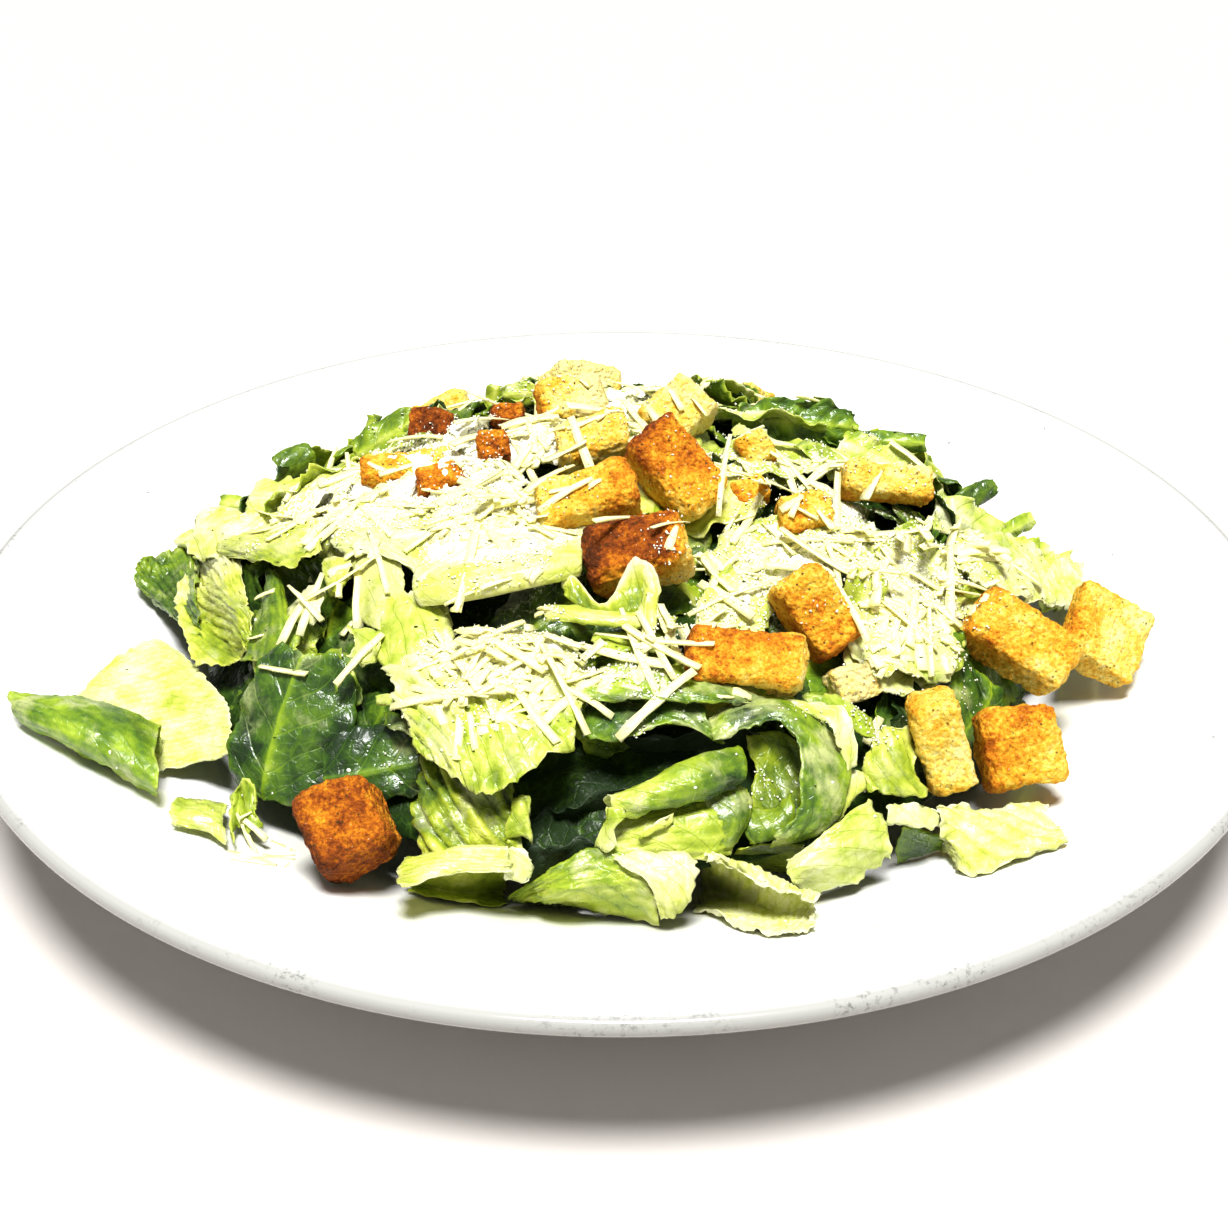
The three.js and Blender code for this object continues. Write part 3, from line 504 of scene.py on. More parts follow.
        [(650, 650, 7), (642, 634, 8), (650, 620, 9), (664, 618, 9), (674, 628, 9),
         (672, 642, 8), (660, 654, 7)],
        [(652, 645, 4), (649, 634, 4), (654, 626, 4), (664, 625, 4), (669, 631, 4),
         (668, 640, 4), (660, 648, 4)],
    ], (0.12, 0.46, 0), (0.2, 0.3, 0.2, 0.1), "v"),
    ("roll_inside", [
        [(640, 616, 3), (660, 614, 3.5), (680, 620, 3)],
        [(640, 654, 3.5), (660, 656, 3.5), (680, 650, 3)],
    ], (0.50, 0.56, 0), (0.2, 0.3, 0.2, 0.0), "u"),
    ("frilly_low", [
        [(588, 630, 5), (615, 630, 6), (642, 636, 5)],
        [(590, 657, 6), (615, 655, 7), (646, 657, 6)],
    ], (0.34, 0.44, 0), (0.9, 0.8, 0.0, 0.4), "u"),
]
DRAPED_RIB = [
    ("top_rib", [
        [(416, 574, 4), (470, 562, 5), (530, 551, 5), (584, 544, 4)],
        [(414, 592, 9), (470, 583, 10), (530, 571, 10), (582, 560, 9)],
        [(424, 606, 7), (475, 600, 8), (530, 588, 8), (578, 576, 7)],
    ], (0.10, 0.20, 0), (0.06, 0.0, 0.5, 0.5), "u"),
]

# How far a piece's colour leans to green (1) or to yellow (-1). The others' lean is
# worked out from their names.
HUES = {
    "rim_roll": 0.9, "rim_broad": -0.3, "rim_scrap": 0.2, "scrap_frill": 0.2,
    "folded_front": -0.35, "fan": 0.1, "fan_tip": -0.4, "front_tube": 0.1, "tube_flap": 0.2,
    "ribbed": -0.1, "front_right": 0.45, "front_curl": -0.4, "front_scrap": -1.1,
    "crinkled": -0.9, "frilly_curl": -0.7, "frilly_band": -0.2, "frilly_roll": -0.5,
    "roll_inside": -1.0, "front_broad": 0.0, "side_folded": -0.7, "arch_inside": -1.0,
    "olive_back": -0.8, "hanging_rib": -0.6, "dark_ledge": 0.7, "dark_blade": 0.6,
    "arched": 0.4, "dark_broad": 0.6, "dark_low": 0.8, "dark_back": 0.7, "arm_back": 0.7,
    "light_right": -0.3, "rim_right": -0.3,
}

# Rings of further pieces round the far side: ring radius, how many, facing elevation.
FAR_RINGS = [(89, 7, 34), (67, 5, 52)]
FAR_FIRST_AZIMUTH = 32
FAR_LAST_AZIMUTH = 168

# Each loose piece that fills in lies this share of the azimuth range past the one before.
GOLDEN_SHARE = 0.618034
# Those pieces: name, how many, radius range, azimuth range, lift range, tone range.
FILLERS = [
    ("inner_low", 34, (64, 86), (-74, 254), (-7, -3), (0.75, 1.0)),
    ("inner_high", 30, (20, 70), (-180, 180), (-6, -3), (0.6, 0.95)),
    ("far_skirt", 20, (80, 96), (25, 165), (-1, 2), (0.25, 0.95)),
    ("far_slope", 18, (50, 80), (20, 175), (-1, 2), (0.1, 0.6)),
    ("far_crown", 12, (5, 50), (0, 180), (-1, 1.5), (0.1, 0.4)),
]

# ---- croutons: name, (how toasted, 0 pale crumb to 1 dark crust; the way its darker end
# faces; how much darker that end is)

TOAST = {
    "front_left": (0.80, (-0.7, -0.1, -0.6), 0.14),
    "right_tall": (0.20, (-0.9, 0, 0.3), 0.08),
    "right_squat": (0.42, (-0.8, -0.2, 0.2), 0.10),
    "right_long": (0.38, (-0.5, 0.3, 0.6), 0.12),
    "right_rim": (0.28, (-0.6, 0.3, 0.2), 0.12),
    "middle_front": (0.44, (-0.9, 0.2, 0.4), 0.24),
    "middle_tall": (0.47, (0, -0.6, -0.7), 0.16),
    "middle_low": (0.08, (0, 0, -1), 0.05),
    "centre_dark": (0.56, (-0.8, -0.1, 0.7), 0.42),
    "centre_left": (0.32, (0.8, 0, 0.3), 0.16),
    "centre_curved": (0.46, (-0.6, 0.3, 0.7), 0.26),
    "crown_pale": (0.15, (0, -0.7, 0.2), 0.10),
    "crown_diamond": (0.13, (-0.8, 0, 0.2), 0.10),
    "crown_left": (0.20, (-0.9, 0, -0.3), 0.30),
    "crown_small": (0.30, (0, -0.5, -0.5), 0.15),
    "behind_inner": (0.42, (0, -0.5, -0.5), 0.15),
    "behind_outer": (0.36, (0, -0.5, -0.5), 0.12),
    "right_slab": (0.26, (0, -0.4, -0.8), 0.15),
    "left_slab": (0.32, (-0.8, -0.3, -0.4), 0.16),
    "left_small": (0.58, (0, -0.5, -0.5), 0.1),
    "left_round": (0.60, (0, -0.4, -0.5), 0.1),
    "left_dark": (0.86, (0, -0.4, -0.5), 0.05),
    "left_red": (0.70, (0, -0.4, -0.5), 0.1),
    "far_left": (0.32, (0, 0.5, -0.6), 0.15),
    "far_middle": (0.16, (0, 0.5, -0.6), 0.15),
    "far_right": (0.38, (0, 0.5, -0.6), 0.15),
}
CRUMB_STEP = 0.5
# The higher the power, the sharper a crouton's edges.
EDGE_POWER = 34.0
# Twice the area of the smallest packed facet that counts, in square millimetres.
SMALLEST_FACET = 0.3

# ---- scattered cheese: patches as (x, y, radius, how many), long shreds and powder

SHRED_PATCHES = [
    (-22, -64, 15, 110), (0, -65, 12, 60), (-15, -2, 9, 34), (14, -66, 10, 16),
    (-46, 2, 22, 70), (-62, -2, 14, 34), (-26, -12, 16, 50), (-23, -29, 13, 70),
    (-18, 10, 18, 46), (14, -30, 18, 60), (38, -28, 18, 100), (60, -30, 15, 100),
    (52, -2, 22, 100), (74, -8, 14, 50), (22, 4, 20, 50), (-12, 26, 26, 40), (0, 0, 84, 110),
    (12, -54, 12, 44), (-56, -36, 10, 16), (50, -40, 12, 50), (50, -56, 10, 20),
    (-66, -78, 7, 14), (0, 52, 38, 90),
]
POWDER_PATCHES = [
    (-44, 0, 24, 120), (-26, -18, 20, 90), (-32, 22, 22, 60), (-8, 22, 24, 70), (8, 2, 24, 40),
    (-22, -60, 16, 70), (0, -66, 12, 40), (14, -50, 14, 70), (36, -30, 22, 130),
    (60, -28, 20, 100), (50, 0, 24, 80), (0, 0, 84, 90), (48, -58, 12, 20), (0, 50, 30, 60),
]
# Drifts of powder: (x, y, radius, strength from 0 to 1).
DRIFTS = [
    (-46, 0, 26, 0.82), (-26, -14, 18, 0.95), (-18, 10, 20, 0.86), (-34, 22, 22, 0.75),
    (-4, 28, 24, 0.72), (-66, 4, 16, 0.60), (-23, -31, 20, 1.0), (-22, -62, 14, 0.60),
    (-2, -65, 10, 0.42), (36, -32, 22, 0.62), (58, -28, 18, 0.56), (48, 0, 24, 0.56),
    (24, 4, 18, 0.5), (0, 50, 34, 0.62),
]
DRIFT_STEP = 0.5
DRIFT_REACH = 96.0
DRIFT_DEPTH = 1.5
DRIFT_SINK = 0.9
FILLING_ROUNDS = 24
POWDER_HEAP = 32
# Ground that shreds are kept off: (x, y, radius).
BARE_GROUND = (-1, -53, 10)
SHRED_WIDTH = 1.6
SHRED_THICKNESS = 0.45
MAP_STEP = 0.6
SHORTEST_LONG = 6
LONG_SPREAD = 17
LONG_POWER = 1.6
BIT_LENGTHS = (2, 6)
GRAIN_SIZES = (0.25, 0.85)
GRAIN_LAYERS = 6
GRAINS_ON_BREAD = 0.25
HERB_COUNT = 420
HERB_REACH = 92
HERB_SHAPE = (2.2, 1.0, 0.6)
RIM_HERB_COUNT = 16
RIM_HERB_REACH = (100, 134)
DROP_COUNT = 200
DROP_SIZES = (0.3, 0.9)
DROP_HEIGHT = 0.45


# ---- noise and vectors ---------------------------------------------------------------

TINY = 1e-9


def cell_values(cells, seed):
    """A repeatable number from 0 to 1 for each whole-number cell: the bits of its
    three numbers and the seed are multiplied and folded together."""
    n = cells[..., 0] * 73856093 ^ cells[..., 1] * 19349663 ^ cells[..., 2] * 83492791
    n = (n ^ (seed * 2654435)) * 1274126177
    n = (n ^ (n >> 15)) * 668265263
    return ((n ^ (n >> 13)) & 0xFFFFFF) / 0xFFFFFF


def value_noise(points, size, seed):
    """Smooth noise from -1 to 1: the values of the eight surrounding cells' corners,
    size apart, blended by an S-curve of the place between them."""
    scaled = points / size
    cell = np.floor(scaled).astype(np.int64)
    share = scaled - cell
    share = share * share * (3 - 2 * share)
    total = np.zeros(points.shape[:-1])
    for corner in np.ndindex(2, 2, 2):
        weight = np.prod(np.where(np.array(corner, bool), share, 1 - share), axis=-1)
        total += weight * cell_values(cell + np.array(corner), seed)
    return 2 * total - 1


def seed_distances(points, size, seed):
    """Distances to the nearest and second nearest of points strewn one to a cell."""
    scaled = points / size
    cell = np.floor(scaled).astype(np.int64)
    first = np.full(points.shape[:-1], 9.0)
    second = first.copy()
    for step in np.ndindex(3, 3, 3):
        other = cell + np.array(step) - 1
        jitter = np.stack([cell_values(other, seed + k) for k in (1, 2, 3)], -1)
        distance = np.linalg.norm(other + jitter - scaled, axis=-1)
        second = np.minimum(second, np.maximum(first, distance))
        first = np.minimum(first, distance)
    return first * size, second * size


def on_plane(a, b, level=0.0):
    """Points with the two arrays as X and Y, for noise on a flat sheet."""
    return np.stack([a, b, np.full_like(a, level)], -1)


def unit(vectors):
    """Vectors drawn out or in to length one; those of no length stay nought."""
    return vectors / np.maximum(np.linalg.norm(vectors, axis=-1, keepdims=True), TINY)


def round_spots(away, turn):
    """Places on the floor at distances from the middle and turns in radians."""
    return np.stack([away * np.cos(turn), away * np.sin(turn)], -1)


# ---- meshes ------------------------------------------------------------------------


def build(name, points, faces, material, replaced=(), values=None, uv=None):
    """Puts arrays of points (millimetres) and faces into a mesh, with one number a
    point for each named value, and makes it a piece of the object."""
    mesh = bpy.data.meshes.new(name)
    mesh.vertices.add(len(points))
    mesh.vertices.foreach_set("co", (points * MM).astype(np.float32).ravel())
    mesh.loops.add(faces.size)
    mesh.loops.foreach_set("vertex_index", faces.astype(np.int32).ravel())
    mesh.polygons.add(len(faces))
    starts = np.arange(len(faces), dtype=np.int32) * faces.shape[1]
    mesh.polygons.foreach_set("loop_start", starts)
    mesh.polygons.foreach_set("use_smooth", np.ones(len(faces), bool))
    mesh.update(calc_edges=True)
    for key, value in (values or {}).items():
        layer = mesh.attributes.new(key, "FLOAT", "POINT")
        layer.data.foreach_set("value", value.astype(np.float32))
    if uv is not None:
        layer = mesh.uv_layers.new(name="sheet")
        layer.uv.foreach_set("vector", uv[faces.ravel()].astype(np.float32).ravel())
    mesh.materials.append(material)
    piece = bpy.data.objects.new(name, mesh)
    bpy.context.scene.collection.objects.link(piece)
    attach(piece, "root")
    if replaced:
        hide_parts(*replaced)
    return piece


def join_parts(parts):
    """Joins (points, faces, values, uv) parts into one: each part's face numbers move
    up by the count of the points before it."""
    offsets = np.cumsum([0] + [len(part[0]) for part in parts[:-1]])
    points = np.concatenate([part[0] for part in parts])
    faces = np.concatenate([part[1] + offset for part, offset in zip(parts, offsets)])
    keys = parts[0][2].keys()
    values = {key: np.concatenate([part[2][key] for part in parts]) for key in keys}
    uv = None if parts[0][3] is None else np.concatenate([part[3] for part in parts])
    return points, faces, values, uv


def grid_quads(rows, columns):
    """Faces of a grid of rows by columns squares, points numbered row by row."""
    corner = np.arange(rows)[:, None] * (columns + 1) + np.arange(columns)
    ring = [corner, corner + columns + 1, corner + columns + 2, corner + 1]
    return np.stack(ring, -1).reshape(-1, 4)


def grid_border(rows, columns):
    """Point numbers round the border of such a grid, in the faces' own direction."""
    stride = columns + 1
    up = np.arange(rows) * stride
    along = rows * stride + np.arange(columns)
    down = np.arange(rows, 0, -1) * stride + columns
    back = np.arange(columns, 0, -1)
    return np.concatenate([up, along, down, back])


def ring_points(radius, height, around):
    """Points of level rings about +Z, ring by ring: radii and heights carried round."""
    turn = 2 * np.pi * np.arange(around) / around
    level = np.repeat(height[:, None], around, 1)
    x, y = np.outer(radius, np.cos(turn)), np.outer(radius, np.sin(turn))
    return np.stack([x, y, level], -1).reshape(-1, 3)


def ring_faces(rings, around):
    """Triangles of a closed skin of rings that starts and ends in a pole: the points are
    numbered ring by ring, then the first pole and the last. Where the first pole is
    the upper one they face outwards."""
    first = np.arange(around)
    second = (first + 1) % around
    last = (rings - 1) * around
    start = np.arange(rings - 1)[:, None] * around
    i, j = (start + first).ravel(), (start + second).ravel()
    pole = np.full(around, rings * around)
    return np.concatenate([
        np.stack([i, i + around, j + around], -1),
        np.stack([i, j + around, j], -1),
        np.stack([pole, first, second], -1),
        np.stack([pole + 1, last + second, last + first], -1),
    ])


def repeated(faces, count, points_each):
    """Faces of one small shape, given again for each of count copies."""
    shifts = np.arange(count)[:, None, None] * points_each
    return (faces[None] + shifts).reshape(-1, faces.shape[1])


# ---- heap and leaves -----------------------------------------------------------------


def plate_top(radius):
    """Height of the plate's upper face at a radius, by straight stretches."""
    return np.interp(radius, [r for r, _ in UPPER_FACE], [z for _, z in UPPER_FACE])


def mound(x, y):
    """The dome's height: its base plus its rise times (1 - share^power)^shoulder."""
    share = np.hypot(x, y) / MOUND_RADIUS
    fall = np.clip(1 - share**MOUND_POWER, 0, 1)
    return MOUND_BASE + MOUND_HEIGHT * fall**MOUND_SHOULDER


def ground(x, y):
    """The higher of the plate's face and, inside its radius, the dome."""
    radius = np.hypot(x, y)
    dome = np.where(radius < MOUND_RADIUS, mound(x, y), 0)
    return np.maximum(plate_top(radius), dome)


def piece_axes(facing):
    """Directions along, across and out of a piece: out from azimuth and elevation,
    and the other two turned by spin round it."""
    azimuth, elevation, spin = np.radians(facing)
    level_reach = math.cos(elevation)
    out = np.array([
        level_reach * math.cos(azimuth),
        level_reach * math.sin(azimuth),
        math.sin(elevation),
    ])
    level = unit(np.cross([0, 0, 1], out))
    rise = np.cross(out, level)
    along = level * math.cos(spin) + rise * math.sin(spin)
    return along, np.cross(out, along), out


def arc(distance, total, span):
    """A straight distance laid on a circle's arc that turns by total over span."""
    curvature = math.radians(total) / span
    if abs(curvature) < TINY:
        return distance, np.zeros_like(distance)
    angle = distance * curvature
    return np.sin(angle) / curvature, (np.cos(angle) - 1) / curvature


class LeafGrid:
    """The square grid that a leaf is worked out on: u runs across from -1 to 1, v along
    from 0 to 1, and flat holds both in millimetres. The side and end lines are where
    the noise of the torn borders is read, one line for each border."""

    def __init__(self, name, length, width, step):
        self.seed = leaf_seed(name)
        self.length, self.width = length, width
        self.rows = max(MIN_CELLS, round(length / step))
        self.columns = max(MIN_CELLS, round(width / step))
        along = np.linspace(0, 1, self.rows + 1)
        across = np.linspace(-1, 1, self.columns + 1)
        self.v, self.u = np.meshgrid(along, across, indexing="ij")
        self.across, self.along = self.u * width / 2, self.v * length
        self.flat = on_plane(self.across, self.along, self.seed)
        self.side_line = on_plane(self.along, BORDERS_APART * np.sign(self.u), self.seed)
        self.end_line = on_plane(self.across, BORDERS_APART * np.sign(self.v - 0.5), self.seed)

    def noise(self, size, step):
        """Smooth noise over the flat grid, with its own seed for each step."""
        return value_noise(self.flat, size, self.seed + step)


def leaf_seed(name):
    """A number from a piece's name, so that each has its own noise."""
    return sum(ord(letter) * (i + 3) for i, letter in enumerate(name)) % 9973


def leaf_relief(grid, rib, crinkle):
    """Height of the crinkles over a flat piece, about -0.5 to 1 mm at crinkle 1, the side
    veins' running number, and the distance off the midrib. Side veins leave the midrib
    at a bending slant; between strewn cells' borders, drawn out along those veins, the
    blade bulges into domes that are strong in some places and faint in others."""
    flat_level = grid.seed * 3.1
    flat = on_plane(grid.across, grid.along, flat_level)
    off_rib = grid.across + FAR_RIB if rib is None else np.abs(grid.across - rib)
    slant = (grid.along - 0.75 * off_rib - 0.008 * off_rib**2) / VEIN_SPACING
    slant = slant + 0.22 * value_noise(flat, 7.0, grid.seed)
    drawn_out = on_plane(0.55 * off_rib + 0.3 * grid.along, slant * VEIN_SPACING, flat_level)
    warped = drawn_out + 1.6 * value_noise(flat, 4.0, grid.seed + 5)[..., None]
    first, second = seed_distances(warped, LARGE_DOME, grid.seed)
    large = np.clip((second - first) / 2.6, 0, 1) ** 0.7
    first, second = seed_distances(warped, SMALL_DOME, grid.seed + 50)
    small = np.clip((second - first) / 1.3, 0, 1) ** 0.8
    strong = 0.55 + 0.45 * value_noise(flat, 9.0, grid.seed + 15)
    off_vein = np.abs(slant - np.round(slant)) * VEIN_SPACING
    relief = strong * (large + 0.3 * small - 0.4) + 0.28 * value_noise(flat, 2.6, grid.seed + 6)
    relief -= 0.4 * np.exp(-(off_vein**2))
    return crinkle * relief, slant, off_rib


def sheet_normal(middle):
    """Unit normals of a grid of points, from its slopes along both ways."""
    return unit(np.cross(np.gradient(middle, axis=0), np.gradient(middle, axis=1)))


def leaf_shell(name, grid, middle, base_tone, crinkle, rib, film, thick=None, lines=0.0):
    """The closed shell round a leaf's middle surface. Crinkles are pushed out along
    the surface's normal, both faces sit half the thickness to each side, a band joins
    their borders, and nothing goes under the plate's face. With it come the numbers a
    point that the leaf paint reads, and a flat map in units of MAP_UNIT."""
    u, v, width = grid.u, grid.v, grid.width
    hue = HUES.get(name, 1.2 * cell_values(np.array([grid.seed, 0, 0]), 77) - 0.6)
    has_rib = rib != NO_RIB
    relief, slant, off_rib = leaf_relief(grid, rib * width / 2 if has_rib else None, crinkle)
    streak = np.sin(2 * np.pi * (grid.across + 0.9 * grid.noise(7.0, 12)) / STREAK_SPACING)
    relief += (0.05 * np.clip(0.7 - base_tone, 0, 0.5) + 0.1 * lines) * streak
    pale = np.clip(1 - base_tone, 0, 1)
    rib_reach = 0.5 + pale * 0.09 * width * (1.1 - v)
    ribness = np.exp(-((off_rib / rib_reach) ** 2)) if has_rib else np.zeros_like(u)
    normal = sheet_normal(middle)
    middle = middle + (relief * (1 - 0.7 * ribness))[..., None] * normal
    inside = np.minimum(1 - np.abs(u), 1 - np.abs(2 * v - 1))
    if thick is None:
        thickness = (LEAF_THICKNESS + 1.2 * ribness) * np.clip(inside * 8, 0.35, 1)
    else:
        thickness = thick * (1 - 0.55 * (1 - inside) ** 4)
    top = middle + normal * (thickness / 2)[..., None]
    bottom = middle - normal * (thickness / 2)[..., None]
    for surface, extra in ((bottom, 0), (top, thickness)):
        floor = plate_top(np.hypot(surface[..., 0], surface[..., 1])) + CLEARANCE
        surface[..., 2] = np.maximum(surface[..., 2], floor + extra)

    quads = grid_quads(grid.rows, grid.columns)
    border = grid_border(grid.rows, grid.columns)
    after = np.roll(border, -1)
    band = np.stack([after, border, border + u.size, after + u.size], -1)
    faces = np.concatenate([quads, quads[:, ::-1] + u.size, band])
    points = np.concatenate([top.reshape(-1, 3), bottom.reshape(-1, 3)])
    mottle = 0.12 * grid.noise(7.0, 7) + 0.06 * grid.noise(2.5, 13)
    mottle += (0.05 * np.clip(0.75 - base_tone, 0, 0.5) + 0.06 * lines) * streak
    paler = 0.45 * ribness * np.minimum(1, base_tone + 0.3) * np.minimum(1, 1.35 - base_tone)
    upward = normal[..., 2] * np.sign(normal[..., 2].mean() + TINY)
    values = {
        "tone": np.clip(base_tone + mottle - paler, 0, 1.3),
        "relief": relief,
        "slant": slant,
        "off": off_rib,
        "margin": np.clip(1 - inside * min(grid.length, width) / 2.2, 0, 1),
        "film": np.full_like(u, film),
        "hue": np.full_like(u, hue),
        "dust": dust_share(top, upward),
    }
    values = {key: np.tile(value.ravel(), 2) for key, value in values.items()}
    flat_map = grid.flat[..., :2].reshape(-1, 2) / MAP_UNIT + grid.seed % 13
    return points, faces, values, np.tile(flat_map, (2, 1))


def from_bare_ground(x, y):
    """How far a place is from the middle of the bare ground, in its radii."""
    return np.hypot(x - BARE_GROUND[0], y - BARE_GROUND[1]) / BARE_GROUND[2]


def crowding(x, y, patches):
    """How crowded powder is at a place, 0 to 1: each patch's strength falls off with
    the square of the distance from its middle, and the strongest counts."""
    share = np.zeros(np.shape(x))
    for middle_x, middle_y, radius, strength in patches:
        away = np.hypot(x - middle_x, y - middle_y) / radius
        share = np.maximum(share, strength * np.clip(1 - away**2, 0, 1))
    return share * np.clip(4 * from_bare_ground(x, y) - 3, 0, 1)


def dust_share(points, upward):
    """How thickly powder lies on a face: crowding, on faces turned up."""
    return crowding(points[..., 0], points[..., 1], DRIFTS) * np.clip(upward / 0.6, 0, 1)


def leaf_part(row, step=LEAF_STEP):
    """One romaine piece from its row. Its middle surface is a rectangle with lobed and
    toothed sides, laid on two arcs (bend, cup), swayed by smooth noise and frilled: the
    edge waves grow with powers of the distance from the middle."""
    name, (x, y, lift), facing, (length, width), (bend, cup), (ruffle, ruffles), look = row
    tone, crinkle, rib = look
    grid = LeafGrid(name, length, width, step)
    u, v, seed = grid.u, grid.v, grid.seed
    off_middle = np.abs(u)
    end = np.abs(2 * v - 1)

    lobes = value_noise(grid.side_line, 9.0, seed) + 0.5 * value_noise(grid.side_line, 4.5, seed)
    teeth = 1.5 * np.abs(value_noise(grid.side_line, 3.4, seed + 1))
    teeth += 0.7 * np.abs(value_noise(grid.side_line, 1.5, seed + 2))
    teeth *= min(1.0, width / FULL_SIZE) * off_middle**3
    cut = 0.12 * value_noise(grid.end_line, 7.0, seed + 2)
    cut -= 0.06 * np.abs(value_noise(grid.end_line, 2.2, seed))
    taper = (1 - 0.35 * end**4) * (1 + 0.10 * lobes)
    side = u * width * taper / 2 - np.sign(u) * teeth
    reach = (v - 0.5) * length * (1 + cut * end**4)

    forward, drop = arc(reach, bend, length)
    sideways, curl = arc(side, cup, width)
    loose = min(1.0, min(length, width) / FULL_SIZE)
    phase = 0.37 * x + 0.61 * y + 1.9 * np.sign(u)
    swing = 2 * np.pi * ruffles * v
    wave = u**2 * np.sin(swing + phase)
    wave += 0.55 * u**4 * np.sin(2.3 * swing + 2 * phase + 2.0 * grid.noise(5.0, 9))
    wave += 1.1 * off_middle**5 * value_noise(grid.side_line, 3.2, seed + 3)
    sway = (0.5 + 0.9 * crinkle) * grid.noise(12.0, 4) + 0.45 * crinkle * grid.noise(6.0, 8)
    height = drop + curl + ruffle * wave + loose * sway
    along, across, out = piece_axes(facing)
    centre = np.array([x, y, float(ground(x, y)) + lift])
    middle = centre + sum(
        share[..., None] * axis for share, axis in ((forward, along), (sideways, across), (height, out))
    )
    way = 1 if seed % 2 else -1
    greener = 0.12 * (u**2 - 0.4) + 0.2 * way * (v - 0.5) * min(1.0, 1.6 - 1.5 * tone)
    return leaf_shell(name, grid, middle, tone + greener, crinkle, rib, LEAF_FILM)


def seen_place(across, down, lift):
    """Where the line of sight through a point of the camera's view first comes down to
    the given lift over the ground, or over the plate's face where the lift counts from
    ON_PLATE: found by steps of 1 mm along the line, then by a straight blend between
    the last two."""
    yaw, down_tilt = math.radians(CAMERA_YAW), math.radians(CAMERA_PITCH)
    right = np.array([math.cos(yaw), math.sin(yaw), 0.0])
    ahead = np.array([
        -math.sin(yaw) * math.cos(down_tilt),
        math.cos(yaw) * math.cos(down_tilt),
        -math.sin(down_tilt),
    ])
    up = np.cross(right, ahead)
    focal = CAMERA_LENS / SENSOR * FRAME
    sight = unit(ahead * focal + right * (across - FRAME / 2) + up * (FRAME / 2 - down))
    steps = np.arange(NEAREST_SIGHT, FARTHEST_SIGHT)
    x, y, z = (np.array(CAMERA_PLACE) / MM + steps[:, None] * sight).T
    if lift < ON_PLATE / 2:
        gap = z - plate_top(np.hypot(x, y)) - (lift - ON_PLATE)
    else:
        gap = z - ground(x, y) - lift
    after = int(np.argmax(gap < 0))
    share = gap[after - 1] / (gap[after - 1] - gap[after])
    return np.array([line[after - 1] * (1 - share) + line[after] * share for line in (x, y, z)])


def through_net(net, down, along):
    """The smooth surface through a net of points at places counted in net cells. Each
    point weighs in by a cubic of its distance (Catmull and Rom's), first along the
    rows, then down them; outside the net it goes on straight."""
    for axis in (0, 1):
        net = np.moveaxis(net, axis, 0)
        net = np.concatenate([2 * net[:1] - net[1:2], net, 2 * net[-1:] - net[-2:-1]], 0)
        net = np.moveaxis(net, 0, axis)

    def weights(place, count):
        gap = np.abs(place[..., None] + 1 - np.arange(count))
        near = 1.5 * gap**3 - 2.5 * gap**2 + 1
        far = -0.5 * gap**3 + 2.5 * gap**2 - 4 * gap + 2
        return np.where(gap < 1, near, np.where(gap < 2, far, 0))

    rows, columns = weights(down, net.shape[0]), weights(along, net.shape[1])
    return np.einsum("...i,...j,ijk->...k", rows, columns, net)


def draped_part(row, thick=None):
    """One romaine piece through its net of points, with torn and toothed borders, and
    frilled along them. A thick one is a rib, whose borders are whole."""
    name, net, tones, (crinkle, ruffle, lines, film), veins = row
    net = np.array([[seen_place(*point) for point in line] for line in net])
    if veins == "u":
        net = net.transpose(1, 0, 2)
    length = np.linalg.norm(np.diff(net, axis=0), axis=-1).sum(0).mean()
    width = np.linalg.norm(np.diff(net, axis=1), axis=-1).sum(1).mean()
    grid = LeafGrid(name, length, width, LEAF_STEP)
    u, v, seed = grid.u, 2 * grid.v - 1, grid.seed

    bites = []
    for line in (grid.side_line, grid.end_line):
        bite = 0.9 * value_noise(line, 7.0, seed) + 1.3 * np.abs(value_noise(line, 3.2, seed + 1))
        bite += 0.7 * np.abs(value_noise(line, 1.5, seed + 2))
        bites.append(0 * bite if thick else bite)
    u_torn = u * (1 - np.abs(u) ** 3 * bites[0] / (width / 2))
    v_torn = v * (1 - np.abs(v) ** 3 * bites[1] / (length / 2))
    down = (v_torn + 1) / 2 * (net.shape[0] - 1)
    along = (u_torn + 1) / 2 * (net.shape[1] - 1)
    middle = through_net(net, down, along)
    rim = np.maximum(np.abs(u), np.abs(v))
    wave = ruffle * rim**5 * (1.2 * grid.noise(4.5, 3) + 0.8 * grid.noise(2.4, 9))
    wave += (0.25 + 0.5 * crinkle) * grid.noise(8.0, 4)
    middle = middle + wave[..., None] * sheet_normal(middle)
    share, other = (u / 2 + 0.5, grid.v) if veins == "u" else (grid.v, u / 2 + 0.5)
    *stops, change = tones
    tone = np.interp(share, np.linspace(0, 1, len(stops)), stops) + change * (other - 0.5)
    return leaf_shell(name, grid, middle, tone, crinkle, NO_RIB, film, thick, lines)


def make_draw(seed):
    """A small linear congruential generator, the one that set the far pieces out."""
    state = [seed]

    def draw(low, high):
        state[0] = (state[0] * 1664525 + 1013904223) % 2**32
        return low + (high - low) * state[0] / 2**32

    return draw


